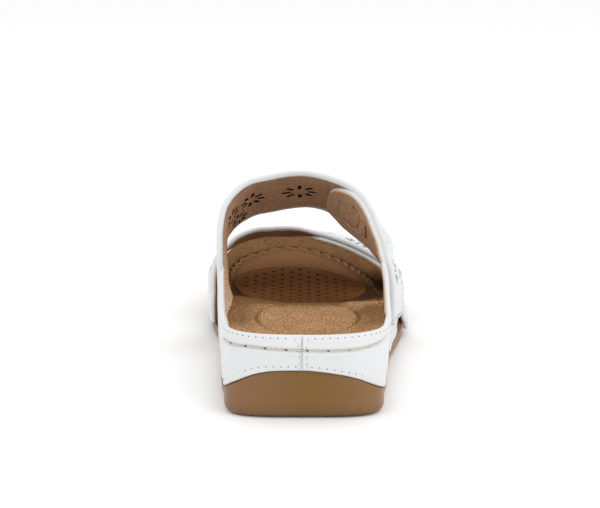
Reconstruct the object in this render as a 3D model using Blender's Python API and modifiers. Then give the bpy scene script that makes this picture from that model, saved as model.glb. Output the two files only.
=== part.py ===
"""Two-strap slide sandal for the right foot, with a wedge sole and hook-and-loop straps.

Lengths are in millimetres until a point becomes a vertex, which is in metres.
While a piece is built, y runs from the heel back (0) to the toe tip (LENGTH), x runs from
the medial side (minus) to the lateral side (plus), and z is the height over the floor.
At the end everything hangs on one empty, which puts the origin under the middle of the sandal.
"""
import math

import bmesh
import bpy
from mathutils import Vector

MM = 0.001

# Driving dimensions
LENGTH = 256.0
HEEL_ROUND = (32.0, 23.0)  # length of the rounded heel end, at the top edge and at the floor
HEEL_POWER = (2.9, 3.8)    # squareness of the heel end, at the top edge and at the floor
TOE_X = -9.0              # the toe tip lies to the medial side
TOE_START = {-1: 190.0, 1: 165.0}
TOE_POWER = {-1: 2.2, 1: 2.0}
LEATHER = 2.2             # wall of the heel wrap and of each strap
HEEL_MIDDLE = 24.0        # the footbed's middle line starts here
TOE_MIDDLE = 204.0        # and ends here
GAP = 0.3                 # room between pieces that touch
LAP = 0.8                 # how far a strap stands over the wrap that it is sewn to
LEDGE = 6.5               # height of the tread's ledge, which the leather stands on
LIP = 0.8                 # how far the heel wrap stands over the footbed's edge
FOOTBED_DEPTH = 6.0       # footbed and its bedding, at the middle
SOLE_ROUND = 2.8          # rounding under the tread's edge

# Edge of the tread: station, medial x, lateral x
EDGE = [
    (0, -33.6, 33.6), (22, -33.8, 33.8), (40, -35.6, 35.6), (60, -36.8, 37.0), (75, -37.4, 38.2), (90, -37.8, 39.9),
    (110, -39.2, 43.6), (133, -42.6, 47.5), (152, -45.4, 48.6), (170, -46.6, 49.0), (190, -46.8, 49.0),
    (256, -46.8, 49.0),
]
# Heights: station, underside, top of the edge all round, footbed's middle
HEIGHT = [
    (0, 0.2, 34.8, 30.8), (7, 0.0, 34.5, 30.2), (14, 0.0, 34.3, 29.8), (45, 0.0, 34.0, 29.4), (70, 0.0, 33.4, 29.8),
    (85, 0.0, 32.0, 28.6), (100, 0.0, 29.6, 25.3), (115, 0.0, 26.8, 21.2), (130, 0.0, 24.2, 18.4),
    (150, 0.0, 22.2, 17.0), (175, 0.0, 21.6, 16.8), (200, 0.6, 23.0, 18.6), (225, 3.6, 26.6, 22.4),
    (245, 7.6, 30.2, 26.4), (256, 10.6, 32.2, 28.8),
]
# The leather's inner face, out from the tread's edge: station, medial top and foot, lateral top and foot
SEAT = [
    (0, 0.0, -1.9, 0.2, -1.9), (15, -1.2, -1.9, 0.0, -1.9), (30, -1.9, -2.0, -0.3, -1.9), (50, -1.9, -2.0, -1.0, -1.9),
    (75, -1.4, -1.9, -2.0, -2.2), (90, -1.3, -1.8, -3.1, -2.7), (104, -1.6, -1.8, -3.5, -3.3), (118, -1.8, -1.8, -3.5, -3.5),
    (135, -0.8, -0.8, -4.4, -4.4), (160, -0.8, -0.8, -4.6, -4.6), (200, -0.8, -0.8, -2.6, -2.6), (256, -1.2, -1.5, -1.2, -1.5),
]
LEAN = {-1: -0.001, 1: 0.008}      # how fast the side wings lean inwards with height

# A band round the foot, as its rear and front edges: place along it, then x, y, z of each edge of the inner face.
# x is None where the band lies flat on the sandal's side.
INSTEP = [
    (0, None, 82, 6.8, None, 112, 6.8), (12, None, 80, 19, None, 110, 17), (22, None, 78.5, 31, None, 109.5, 28),
    (34, -36.4, 80, 46, -37.4, 115.5, 36.4), (48, -36.8, 85.5, 59.2, -37.8, 127, 45.6), (60, -35.7, 94, 69.6, -33.9, 140, 51.8),
    (70, -31.9, 104, 75.2, -29.5, 147, 54.4), (82, -23.2, 113, 79.8, -21.4, 152, 57.2), (94, -9.2, 118, 81.0, -9, 154.5, 58.2),
    (106, 4.2, 118.5, 79.4, 4.2, 154.5, 57.6), (118, 16.6, 115, 76.1, 13.2, 152.5, 55.0), (128, 23.6, 110.5, 71.9, 19.1, 149, 50.2),
    (137, 27.2, 104.5, 67.3, 24.6, 142.5, 46.8), (147, 30.1, 97, 60.8, 30.7, 134, 43.3), (158, 33.2, 89.5, 52.5, 35.0, 126.5, 39.4),
    (169, 35.6, 84, 43.6, 38.3, 121, 34.1), (180, None, 80.5, 32.5, None, 118.5, 27), (192, None, 79.5, 19.5, None, 117.5, 17),
    (204, None, 81, 6.8, None, 118, 6.8),
]
TOE = [
    (0, None, 137, 6.8, None, 176, 6.8), (9, None, 137, 15.5, None, 177, 14.5), (17, None, 139, 22.9, None, 179, 21.8),
    (24, -42.4, 141.5, 31, -44, 181, 26.8), (31, -40.6, 145.5, 37.2, -41.6, 183.5, 30.2), (38, -36.8, 150.5, 41.3, -38, 187, 33.0),
    (46, -33, 158, 43.9, -32.6, 192.5, 35.3), (54, -28, 164, 45.4, -25, 199, 36.4), (62, -21.8, 168.5, 46.2, -17.2, 203, 36.8),
    (70, -15, 170.8, 45.8, -9, 205, 36), (78, -8, 172.3, 44.3, -2, 205.5, 34.8), (86, -0.5, 173, 42.2, 5, 205, 34),
    (94, 6.5, 173, 40.4, 12, 203.5, 33.8), (102, 14, 170.5, 38.6, 18.5, 200, 33.6), (110, 21, 165.7, 36.9, 25, 193.5, 32.4),
    (119, 28.5, 158.5, 34.7, 31.5, 187, 30), (127, 35, 151, 32.2, 38, 180.5, 26.8), (133, 39.2, 146, 29.6, 42.4, 176.5, 24.6),
    (141, None, 140, 23.2, None, 173, 21.7), (149, None, 137, 15, None, 170, 14), (157, None, 136, 6.8, None, 169, 6.8),
]
# Each strap and tab: from, to (places along the band), margin from its edges, rounded end's radius
INSTEP_STRAP = (0.0, 193.0, 0.0, 7.0)
INSTEP_TAB = (204.0, 113.0, 0.6, 13.0)
TOE_STRAP = (0.0, 154.5, 0.0, 6.0)
TOE_TAB = (157.0, 88.5, 0.5, 9.0)
# Where each strap steps up from the foot to lie over its tab
INSTEP_STEP = (86.0, 105.0)
TOE_STEP = (66.0, 86.0)
OVER = 0.4                         # room between a tab and the strap above it
# The hook-and-loop patches that hold each strap to its tab: from, to, margin from the edges
INSTEP_PATCH = (122.0, 152.0, 8.0)
TOE_PATCH = (98.0, 126.0, 7.0)

WRAP_END = {-1: 106.0, 1: 114.0}   # stations where the heel wrap stops
# How far the wrap's top line stands over the top edge: station, height
WING = [(0, 0.8), (40, 0.8), (60, 2.4), (75, 9.2), (82, 15.5), (86, 15.5), (93, 7.0), (102, 3.0), (114, 2.0)]
# Height of the rubber's top edge round the heel: signed place round the outline from the heel's back, height
CREST = [
    (-0.1, 6.5), (-0.085, 7.4), (-0.073, 8.8), (-0.062, 10.5), (-0.048, 14.1), (-0.0377, 17.2), (-0.029, 19.0),
    (-0.0215, 19.8), (-0.0115, 20.15), (0.0, 20.2), (0.0065, 19.95), (0.014, 19.35), (0.0255, 18.0), (0.0367, 15.8),
    (0.044, 13.7), (0.05, 12.0), (0.0578, 10.3), (0.07, 8.4), (0.085, 7.1), (0.1, 6.5),
]
RIM_END = {-1: 107.0, 1: 115.0}    # stations where the toe rim stops
# Width of the toe rim: station, medial side, lateral side
SEAM_INSET = [
    (100, 1.0, 1.0), (108, 2.2, 1.6), (116, 4.2, 3.6), (130, 6.0, 6.0), (150, 7.6, 8.2), (175, 8.8, 11.2),
    (191, 9.7, 14.2), (206, 10.9, 16.1), (219, 12.7, 17.5), (230, 15.8, 18.9), (241, 19.8, 20.8), (256, 23.0, 23.0),
]
SEAM_GAP = 0.35
BED_GAP = 0.4                      # room under the footbed and the toe rim
RIM_ROUND = 4.0                    # rounding over the toe rim's outer edge

COLUMNS = 72              # columns round the sandal, twice as close round the heel and the toe
EPS = 0.004


def blend(rows, column, at):
    """Smooth curve through one column of a table whose first column rises."""
    if at <= rows[0][0]:
        return rows[0][column]
    if at >= rows[-1][0]:
        return rows[-1][column]
    i = next(k for k in range(len(rows) - 1) if rows[k + 1][0] >= at)
    x0, x1 = rows[i][0], rows[i + 1][0]
    v0, v1 = rows[i][column], rows[i + 1][column]
    step = (v1 - v0) / (x1 - x0)

    def slope(k):
        if k in (0, len(rows) - 1):
            return step
        before = (rows[k][column] - rows[k - 1][column]) / (rows[k][0] - rows[k - 1][0])
        after = (rows[k + 1][column] - rows[k][column]) / (rows[k + 1][0] - rows[k][0])
        return 0.0 if before * after <= 0 else 2 * before * after / (before + after)

    t = (at - x0) / (x1 - x0)
    h = x1 - x0
    a, b = slope(i) * h, slope(i + 1) * h
    return v0 + t * (a + t * (3 * (v1 - v0) - 2 * a - b + t * (a + b - 2 * (v1 - v0))))


def smooth(low, high, at):
    """0 below low, 1 above high, with an easy start and end."""
    t = min(1.0, max(0.0, (at - low) / (high - low)))
    return t * t * (3 - 2 * t)


def edge_x(y, side, down=1.0):
    """x of the edge at a station, on the medial (-1) or lateral (+1) side; down is 0 at the top edge and 1 at the tread."""
    x = blend(EDGE, 1 if side < 0 else 2, y)
    length = HEEL_ROUND[0] + (HEEL_ROUND[1] - HEEL_ROUND[0]) * down
    power = HEEL_POWER[0] + (HEEL_POWER[1] - HEEL_POWER[0]) * down
    if y < length:
        x *= (1 - (1 - max(y, 0) / length) ** power) ** (1 / power)
    start = TOE_START[side]
    if y > start:
        far = min(1.0, (y - start) / (LENGTH - start))
        x = TOE_X + (x - TOE_X) * (1 - far ** TOE_POWER[side]) ** (1 / TOE_POWER[side])
    return x


def half_way(side, down):
    """Share of the way round one side from the heel's back to the toe's tip, with the station there."""
    steps = 720
    stations = [LENGTH * (1 - math.cos(math.pi * k / steps)) / 2 for k in range(steps + 1)]
    points = [(edge_x(y, side, down), y) for y in stations]
    points[0] = (0.0, 0.0)
    gone = [0.0]
    for p, q in zip(points, points[1:]):
        gone.append(gone[-1] + math.dist(p, q))
    return [(g / gone[-1], y) for g, y in zip(gone, stations)]


WAY = {(side, down): half_way(side, down) for side in (-1, 1) for down in (0, 1)}


def straight(rows, key, at):
    """Straight-line reading of a two-column table, from column key to the other."""
    low, high = 0, len(rows) - 1
    while high - low > 1:
        mid = (low + high) // 2
        if rows[mid][key] <= at:
            low = mid
        else:
            high = mid
    first, last = rows[low], rows[high]
    t = (at - first[key]) / (last[key] - first[key])
    return first[1 - key] + (last[1 - key] - first[1 - key]) * min(1.0, max(0.0, t))


def half_turn(turn):
    """0 at the heel's back, 1 at the toe's tip."""
    turn %= 1.0
    return turn * 2 if turn <= 0.5 else 2 - turn * 2


def loop_place(turn):
    """(station, side) for a place round the outline: 0 heel back, 0.5 toe tip, first lateral then medial."""
    side = 1 if turn % 1.0 <= 0.5 else -1
    return straight(WAY[side, 1], 0, half_turn(turn)), side


def turn_at(y, side):
    """Place round the outline of a station on one side."""
    half = straight(WAY[side, 1], 1, y)
    return half / 2 if side > 0 else 1 - half / 2


def loop_turns():
    """Places of the columns round the sandal."""
    steps = [k / COLUMNS for k in range(COLUMNS)]
    between = [(k + 0.5) / COLUMNS for k in range(COLUMNS)]
    return sorted(steps + [t for t in between if half_turn(t) < 0.22 or half_turn(t) > 0.93])


def outline(turn, out=0.0, down=1.0):
    """(x, y) on the outline, moved outwards by a distance; down is 0 at the top edge and 1 at the tread."""
    def at(place):
        half, side = half_turn(place), 1 if place % 1.0 <= 0.5 else -1
        top, foot = (straight(WAY[side, level], 0, half) for level in (0, 1))
        return edge_x(top, side, 0) * (1 - down) + edge_x(foot, side, 1) * down, top * (1 - down) + foot * down
    x, y = at(turn)
    ax, ay = at(turn - EPS / 2)
    bx, by = at(turn + EPS / 2)
    tx, ty = bx - ax, by - ay
    size = math.hypot(tx, ty)
    return x + out * ty / size, y - out * tx / size


def rim(y):
    return blend(HEIGHT, 2, y)


def seat_out(y, side, down):
    """How far the leather's inner face lies out from the tread's edge; down is 0 at the top edge and 1 at the ledge."""
    first = 1 if side < 0 else 3
    top, foot = blend(SEAT, first, y), blend(SEAT, first + 1, y)
    return top + (foot - top) * down ** 2


def lean_in(y, side, z):
    """How far the side wings lean inwards at a height over the top edge."""
    return LEAN[side] * min(max(z - rim(y), 0.0), 18.0) ** 2


def side_x(y, side, z):
    """x of the leather's inner face on one side."""
    down = min(1.0, max(0.0, (rim(y) - z) / (rim(y) - LEDGE - GAP)))
    return edge_x(y, side, down) + side * (seat_out(y, side, down) - lean_in(y, side, z))


def share_table(band):
    """A band's table with x as a share of the way from the medial side (0) to the lateral side (1)."""
    rows = []
    middle = (band[0][0] + band[-1][0]) / 2
    for place, *edges in band:
        row = [place]
        for x, y, z in (edges[:3], edges[3:]):
            left, right = side_x(y, -1, z), side_x(y, 1, z)
            share = (0.0 if place < middle else 1.0) if x is None else (x - left) / (right - left)
            row += [share, y, z]
        rows.append(row)
    return rows


def band_point(table, place, across):
    """Point on a band's inner face; across is 0 at its rear edge and 1 at its front edge."""
    share, y, z = (
        blend(table, column, place) * (1 - across) + blend(table, column + 3, place) * across for column in (1, 2, 3)
    )
    return Vector((side_x(y, -1, z) * (1 - share) + side_x(y, 1, z) * share, y, z))


def lifted(table, place, across, lift):
    """Point over a band's inner face, lifted outwards."""
    here = band_point(table, place, across)
    low, high = max(table[0][0], place - 0.4), min(table[-1][0], place + 0.4)
    round_it = band_point(table, high, across) - band_point(table, low, across)
    ahead = band_point(table, place, min(1.0, across + 0.02)) - band_point(table, place, max(0.0, across - 0.02))
    return here + round_it.cross(ahead).normalized() * lift


def wrap_head(turn):
    """Height of the wrap's top line."""
    y = loop_place(turn)[0]
    return rim(y) + blend(WING, 1, y)


def wrap_point(turn, z, lift=0.0):
    """Point on the heel wrap's inner face."""
    y, side = loop_place(turn)
    down = min(1.0, max(0.0, (rim(y) - z) / (rim(y) - LEDGE - GAP)))
    x, flat_y = outline(turn, seat_out(y, side, down) - lean_in(y, side, z) + lift, down)
    return Vector((x, flat_y, z))


def bed_point(turn, share):
    """(x, y) on the footbed: share 0 is its middle line and 1 the leather's inner face."""
    y, side = loop_place(turn)
    x, flat_y = outline(turn, seat_out(y, side, 0) - GAP, 0.0)
    middle_y = HEEL_MIDDLE + (TOE_MIDDLE - HEEL_MIDDLE) * (1 - math.cos(math.pi * half_turn(turn))) / 2
    middle_x = (edge_x(middle_y, -1) + edge_x(middle_y, 1)) / 2
    return middle_x + (x - middle_x) * share, middle_y + (flat_y - middle_y) * share


def bed_height(x, y, turn, share):
    """Top of the footbed: dished, with the medial arch raised."""
    low, high = blend(HEIGHT, 3, y), rim(y) - LIP
    side = -1 if turn > 0.5 else 1
    arch = 3.6 * math.exp(-((y - 96) / 26) ** 2) * max(0.0, share - 0.25) if side < 0 else 0.0
    return low + (high - low) * share ** 2.6 + arch * (1.0 - share ** 6)


def seam_share(turn):
    """Where the seam between the footbed and the toe rim crosses a column."""
    y, side = loop_place(turn)
    ax, ay = bed_point(turn, 0)
    bx, by = bed_point(turn, 1)
    return 1 - blend(SEAM_INSET, 1 if side < 0 else 2, y) / math.hypot(bx - ax, by - ay)


def beside_rim(turn):
    """Whether the toe rim runs past a column."""
    return turn_at(RIM_END[1], 1) <= turn % 1.0 <= turn_at(RIM_END[-1], -1)


def bedding(y):
    """Height of the sole's top, which carries the footbed."""
    return blend(HEIGHT, 3, y) - FOOTBED_DEPTH


def crest(turn):
    """Top of the full-width rubber: the ledge, climbing in an arch at the heel's back."""
    y = loop_place(turn)[0]
    lift = blend(HEIGHT, 1, y) * 0.6 if y > 20 else 0.0
    return lift + blend(CREST, 1, (turn + 0.5) % 1.0 - 0.5)


# Turning points into objects

def material(name, colour, roughness, metallic=0.0):
    made = bpy.data.materials.new(name)
    made.use_nodes = True
    shader = made.node_tree.nodes["Principled BSDF"]
    shader.inputs["Base Color"].default_value = (*colour, 1.0)
    shader.inputs["Roughness"].default_value = roughness
    shader.inputs["Metallic"].default_value = metallic
    return made


def grid_object(name, rows, closed, finish, collection):
    """Object from rows of points in millimetres, joined in quads; closed joins each row's end to its start."""
    mesh = bmesh.new()
    laid = [[mesh.verts.new(Vector(p) * MM) for p in row] for row in rows]
    width = len(rows[0])
    for low, high in zip(laid, laid[1:]):
        for i in range(width if closed else width - 1):
            j = (i + 1) % width
            mesh.faces.new((low[i], low[j], high[j], high[i]))
    return mesh_object(name, mesh, finish, collection)


def mesh_object(name, mesh, finish, collection):
    bmesh.ops.remove_doubles(mesh, verts=mesh.verts, dist=0.00002)
    bmesh.ops.recalc_face_normals(mesh, faces=mesh.faces)
    if mesh.calc_volume(signed=True) < 0:
        bmesh.ops.reverse_faces(mesh, faces=mesh.faces)
    data = bpy.data.meshes.new(name)
    mesh.to_mesh(data)
    mesh.free()
    data.materials.append(finish)
    data.shade_smooth()
    data.set_sharp_from_angle(angle=math.radians(40))
    made = bpy.data.objects.new(name, data)
    collection.objects.link(made)
    return made


def layer(step, low):
    """Lift of a strap along its band: on the foot at first, then over the tab."""
    return lambda place: low + (LEATHER + OVER) * smooth(*step, place)


def strap_sheet(name, table, shape, steps, across, lift, finish, collection):
    """A strap as a sheet with a wall, square at its first end and rounded at its last."""
    first, last, margin, radius = shape
    length = abs(last - first)
    way = 1 if last > first else -1
    ends = [radius * d for d in (0.0, 0.08, 0.3, 0.6, 1.0)]
    marks = [length - d for d in reversed(ends)]
    marks = [(length - radius) * k / steps for k in range(steps)] + marks
    rows = []
    for mark in marks:
        place = first + way * mark
        rear, front = band_point(table, place, 0), band_point(table, place, 1)
        width = (front - rear).length
        from_end = min(radius, length - mark)
        inset = margin + radius - math.sqrt(max(0.0, radius ** 2 - (radius - from_end) ** 2))
        low, high = inset / width, 1 - inset / width
        rows.append([lifted(table, place, low + (high - low) * k / across, lift(place)) for k in range(across + 1)])
    made = grid_object(name, rows, False, finish, collection)
    wall(made, LEATHER)
    return made


def wall(made, thick):
    """Gives an open sheet its thickness, outwards."""
    solid = made.modifiers.new("wall", "SOLIDIFY")
    solid.thickness = thick * MM
    solid.offset = 1.0
    solid.use_even_offset = True


def face_outwards(made, inside):
    """Turns a sheet so that its normals point away from a point in metres."""
    data = made.data
    votes = sum(1 if (f.center - inside).dot(f.normal) > 0 else -1 for f in data.polygons)
    if votes < 0:
        data.flip_normals()


def join(whole, part):
    """Adds a piece to another with a Boolean union."""
    union = whole.modifiers.new("join_" + part.name, "BOOLEAN")
    union.operation = "UNION"
    union.solver = "EXACT"
    union.object = part


# The sandal's pieces

def make_outsole(finish, collection):
    """Rubber wedge: flat tread with a rounded edge, a ledge for the leather, and the block that carries the footbed."""
    turns = loop_turns()

    def flat(share, column, drop=0.0):
        rows = []
        for turn in turns:
            x, y = bed_point(turn, share)
            rows.append((x, y, blend(HEIGHT, column, y) - drop))
        return rows

    def side(out, height, down=1.0):
        rows = []
        for turn in turns:
            x, y = outline(turn, out(turn), down)
            rows.append((x, y, height(turn)))
        return rows

    def underside(turn):
        return blend(HEIGHT, 1, loop_place(turn)[0])

    rings = [flat(share, 1) for share in (0.0, 0.5, 0.8)]
    for degrees in (90, 55, 20, 0):
        a = math.radians(degrees)
        out, rise = SOLE_ROUND * (math.cos(a) - 1), SOLE_ROUND * (1 - math.sin(a))
        rings.append(side(lambda turn: out, lambda turn: underside(turn) + rise))
    rings.append(side(lambda turn: 0.1, crest))
    core = []
    for turn in turns:
        y, hand = loop_place(turn)
        z = crest(turn)
        down = (rim(y) - z) / (rim(y) - LEDGE - GAP)
        x, y = outline(turn, seat_out(y, hand, min(1.0, max(0.0, down))) - GAP, min(1.0, max(0.0, down)))
        core.append((x, y, z))
    rings.append(core)
    rings += [flat(share, 3, FOOTBED_DEPTH) for share in (0.985, 0.75, 0.5, 0.25, 0.0)]
    return grid_object("outsole", rings, True, finish, collection)


def make_footbed(finish, collection):
    """Moulded footbed: dished top, wall at the seam or at the leather, flat underside."""
    turns = loop_turns()

    def reach(turn):
        return seam_share(turn) - SEAM_GAP / 40 if beside_rim(turn) else 1.0

    def ring(share, height):
        rows = []
        for turn in turns:
            r = share * reach(turn)
            x, y = bed_point(turn, r)
            rows.append((x, y, height(x, y, turn, r)))
        return rows

    def underside(x, y, turn, share):
        return bedding(y) + BED_GAP

    rings = [ring(s, underside) for s in (0.0, 0.25, 0.5, 0.75, 0.988)]
    rings += [ring(s, bed_height) for s in (1.0, 0.93, 0.82, 0.66, 0.45, 0.22, 0.0)]
    return grid_object("footbed", rings, True, finish, collection)


def make_toe_rim(finish, collection):
    """Rolled suede rim round the front of the footbed, from under the instep strap to its other side."""
    rows = []
    for turn in loop_turns():
        if not beside_rim(turn):
            continue
        y, side = loop_place(turn)
        seam = seam_share(turn)
        loop = []
        for step in (0.0, 0.3, 0.6):
            x, flat_y = bed_point(turn, seam + (1 - seam) * step)
            puff = 0.9 * math.sin(math.pi * min(1.0, step / 0.8))
            loop.append((x, flat_y, bed_height(x, flat_y, turn, seam + (1 - seam) * step) + puff))
        head = rim(y) - LIP
        radius = min(RIM_ROUND, 0.55 * blend(SEAM_INSET, 1 if side < 0 else 2, y))
        for angle in (70, 40, 8):
            a = math.radians(angle)
            x, flat_y = outline(turn, seat_out(y, side, 0) - radius * (1 - math.cos(a)), 0.0)
            loop.append((x, flat_y, head - radius * (1 - math.sin(a))))
        x, flat_y = outline(turn, seat_out(y, side, 0), 0.0)
        loop.append((x, flat_y, bedding(y) + BED_GAP))
        x, flat_y = bed_point(turn, seam)
        loop.append((x, flat_y, bedding(flat_y) + BED_GAP))
        rows.append(loop)
    mesh = bmesh.new()
    laid = [[mesh.verts.new(Vector(p) * MM) for p in row] for row in rows]
    size = len(rows[0])
    for low, high in zip(laid, laid[1:]):
        for i in range(size):
            j = (i + 1) % size
            mesh.faces.new((low[i], low[j], high[j], high[i]))
    mesh.faces.new(laid[0])
    mesh.faces.new(laid[-1])
    return mesh_object("toe_rim", mesh, finish, collection)


def make_wrap(name, finish, collection):
    """Leather wrap round the heel and the wedge's sides, with a low wing on each side."""
    turns = loop_turns()
    turns = [t - 1 for t in turns if t >= turn_at(WRAP_END[-1], -1)] + [t for t in turns if t <= turn_at(WRAP_END[1], 1)]
    rows = []
    for turn in turns:
        top = rim(loop_place(turn)[0])
        foot, head = crest(turn % 1.0) + GAP, wrap_head(turn)
        levels = [foot + (top - foot) * i / 3 for i in range(3)] + [top + (head - top) * i / 3 for i in range(4)]
        rows.append([wrap_point(turn, z) for z in levels])
    made = grid_object(name, rows, False, finish, collection)
    wall(made, LEATHER)
    return made


def patch_sheet(name, table, patch, lift, thick, finish, collection):
    """The hook-and-loop patch between a strap and its tab."""
    first, last, margin = patch
    rows = []
    for k in range(7):
        place = first + (last - first) * k / 6
        width = (band_point(table, place, 1) - band_point(table, place, 0)).length
        low, high = margin / width, 1 - margin / width
        rows.append([lifted(table, place, low + (high - low) * i / 3, lift) for i in range(4)])
    made = grid_object(name, rows, False, finish, collection)
    wall(made, thick)
    return made


def make_upper(finish, collection, joined):
    """Heel wrap, instep tab and instep strap, joined where they lap and at the hook-and-loop patch."""
    inside = Vector((0.0, 100.0, 45.0)) * MM
    table = share_table(INSTEP)
    wrap = make_wrap("upper", finish, collection)
    tab = strap_sheet("instep_tab", table, INSTEP_TAB, 16, 4, lambda place: LAP, finish, joined)
    strap = strap_sheet("instep_strap", table, INSTEP_STRAP, 30, 4, layer(INSTEP_STEP, LAP), finish, joined)
    patch = patch_sheet("instep_patch", table, INSTEP_PATCH, LAP + LEATHER - 0.7, OVER + 1.4, finish, joined)
    for sheet in (wrap, tab, strap, patch):
        face_outwards(sheet, inside)
    for piece in (tab, patch, strap):
        join(wrap, piece)
    return wrap


def make_toe_strap(finish, collection, joined):
    """Toe strap from the medial side, with its end lapped over the lateral tab and held by a patch."""
    inside = Vector((0.0, 170.0, 20.0)) * MM
    table = share_table(TOE)
    strap = strap_sheet("toe_strap", table, TOE_STRAP, 26, 4, layer(TOE_STEP, GAP), finish, collection)
    tab = strap_sheet("toe_tab", table, TOE_TAB, 12, 4, lambda place: GAP, finish, joined)
    patch = patch_sheet("toe_patch", table, TOE_PATCH, GAP + LEATHER - 0.7, OVER + 1.4, finish, joined)
    for sheet in (strap, tab, patch):
        face_outwards(sheet, inside)
    for piece in (patch, tab):
        join(strap, piece)
    return strap


def main():
    for old in list(bpy.data.objects):
        bpy.data.objects.remove(old, do_unlink=True)
    sandal = bpy.data.collections.new("sandal")
    joined = bpy.data.collections.new("joined_pieces")
    for group in (sandal, joined):
        bpy.context.scene.collection.children.link(group)
    rubber = material("gum_rubber", (0.26, 0.15, 0.075), 0.45)
    suede = material("tan_suede", (0.42, 0.26, 0.14), 0.95)
    rim_suede = material("rim_suede", (0.36, 0.21, 0.11), 0.95)
    leather = material("white_leather", (0.86, 0.86, 0.85), 0.4)
    pieces = [
        make_outsole(rubber, sandal),
        make_footbed(suede, sandal),
        make_toe_rim(rim_suede, sandal),
        make_upper(leather, sandal, joined),
        make_toe_strap(leather, sandal, joined),
    ]
    for cutter in joined.objects:
        cutter.hide_render = True
        cutter.display_type = "WIRE"
    place_origin(pieces, list(joined.objects), sandal)


def place_origin(pieces, helpers, collection):
    """Hangs every object on an empty that puts the origin on the floor under the middle of the sandal."""
    bpy.context.view_layer.update()
    depsgraph = bpy.context.evaluated_depsgraph_get()
    corners = []
    for piece in pieces:
        found = piece.evaluated_get(depsgraph)
        corners += [found.matrix_world @ v.co for v in found.data.vertices]
    middle = [(min(c[i] for c in corners) + max(c[i] for c in corners)) / 2 for i in range(2)]
    base = bpy.data.objects.new("sandal_base", None)
    collection.objects.link(base)
    base.location = (-middle[0], -middle[1], 0.0)
    for thing in pieces + helpers:
        thing.parent = base


main()
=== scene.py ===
"""Two-strap slide sandal for the right foot: the finished leatherwork over its packed frame.

Points are in millimetres while a piece is made. y runs from the heel back (0) to the toe tip,
x from the medial side (minus) to the lateral side (plus), z is the height over the floor.
SHIFT then puts them in the frame, in metres.
"""
import math

import bmesh
import bpy
import numpy as np
from bpy.props import FloatProperty, FloatVectorProperty, IntProperty, PointerProperty
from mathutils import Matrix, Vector
from mathutils.bvhtree import BVHTree


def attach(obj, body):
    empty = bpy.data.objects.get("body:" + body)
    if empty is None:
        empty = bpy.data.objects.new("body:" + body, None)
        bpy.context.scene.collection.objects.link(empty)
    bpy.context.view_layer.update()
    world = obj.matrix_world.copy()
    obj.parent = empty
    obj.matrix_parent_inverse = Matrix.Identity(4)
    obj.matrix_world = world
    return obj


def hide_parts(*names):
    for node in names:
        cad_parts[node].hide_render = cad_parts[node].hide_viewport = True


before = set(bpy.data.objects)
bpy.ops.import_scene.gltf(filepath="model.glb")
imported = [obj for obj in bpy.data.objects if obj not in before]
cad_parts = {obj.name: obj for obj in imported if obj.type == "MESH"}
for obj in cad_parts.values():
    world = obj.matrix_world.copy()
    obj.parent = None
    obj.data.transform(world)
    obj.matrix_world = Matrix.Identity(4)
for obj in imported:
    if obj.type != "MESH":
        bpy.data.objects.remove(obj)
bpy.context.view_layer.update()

MM = 0.001
SHIFT = np.array((-0.6216, -126.8502, 0.0))

bl_info = {
    "name": "Slide sandal",
    "version": (1, 0, 0),
    "blender": (4, 5, 0),
    "location": "View3D > Sidebar > Sandal",
    "description": "Builds the leather, suede, rubber and stitching of a two-strap slide sandal",
    "category": "Add Mesh",
}

# The last's shape, shared by every piece

LENGTH = 256.0             # of the outsole
HEEL_ROUND = (32.0, 23.0)  # length of the rounded heel end, at the top edge and at the floor
HEEL_POWER = (2.9, 3.8)    # squareness of the heel end, at the top edge and at the floor
TOE_X = -9.0               # the toe tip lies to the medial side
TOE_START = {-1: 190.0, 1: 165.0}
TOE_POWER = {-1: 2.2, 1: 2.0}
LEATHER = 2.2              # thickness of the white leather
HEEL_MIDDLE = 24.0         # ends of the middle line that the footbed's columns start from
TOE_MIDDLE = 204.0
GAP = 0.3                  # room between pieces that meet
LAP = 0.8                  # room between the foot and the straps
LEDGE = 6.5                # height of the rubber's ledge, which carries the leather
LIP = 0.8                  # how far the footbed lies under the top edge
DISH_POWER = 2.6           # how late the footbed's dish rises to its edge
ARCH = (3.6, 96.0, 26.0)   # rise of the medial arch, with its station and its width
FOOTBED_DEPTH = 6.0
SOLE_ROUND = 2.8           # rounding of the sole's foot
TURN_STEP = 0.004          # step along the outline for its direction

# Edge of the tread: station, medial x, lateral x
EDGE = [
    (0, -33.6, 33.6), (22, -33.8, 33.8), (40, -35.6, 35.6), (60, -36.8, 37.0), (75, -37.4, 38.2), (90, -37.8, 39.9),
    (110, -39.2, 43.6), (133, -42.6, 47.5), (152, -45.4, 48.6), (170, -46.6, 49.0), (190, -46.8, 49.0),
    (256, -46.8, 49.0),
]
# Heights: station, underside, top of the edge all round, footbed's middle
HEIGHT = [
    (0, 0.2, 34.8, 30.8), (7, 0.0, 34.5, 30.2), (14, 0.0, 34.3, 29.8), (45, 0.0, 34.0, 29.4), (70, 0.0, 33.4, 29.8),
    (85, 0.0, 32.0, 28.6), (100, 0.0, 29.6, 25.3), (115, 0.0, 26.8, 21.2), (130, 0.0, 24.2, 18.4),
    (150, 0.0, 22.2, 17.0), (175, 0.0, 21.6, 16.8), (200, 0.6, 23.0, 18.6), (225, 3.6, 26.6, 22.4),
    (245, 7.6, 30.2, 26.4), (256, 10.6, 32.2, 28.8),
]
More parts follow.
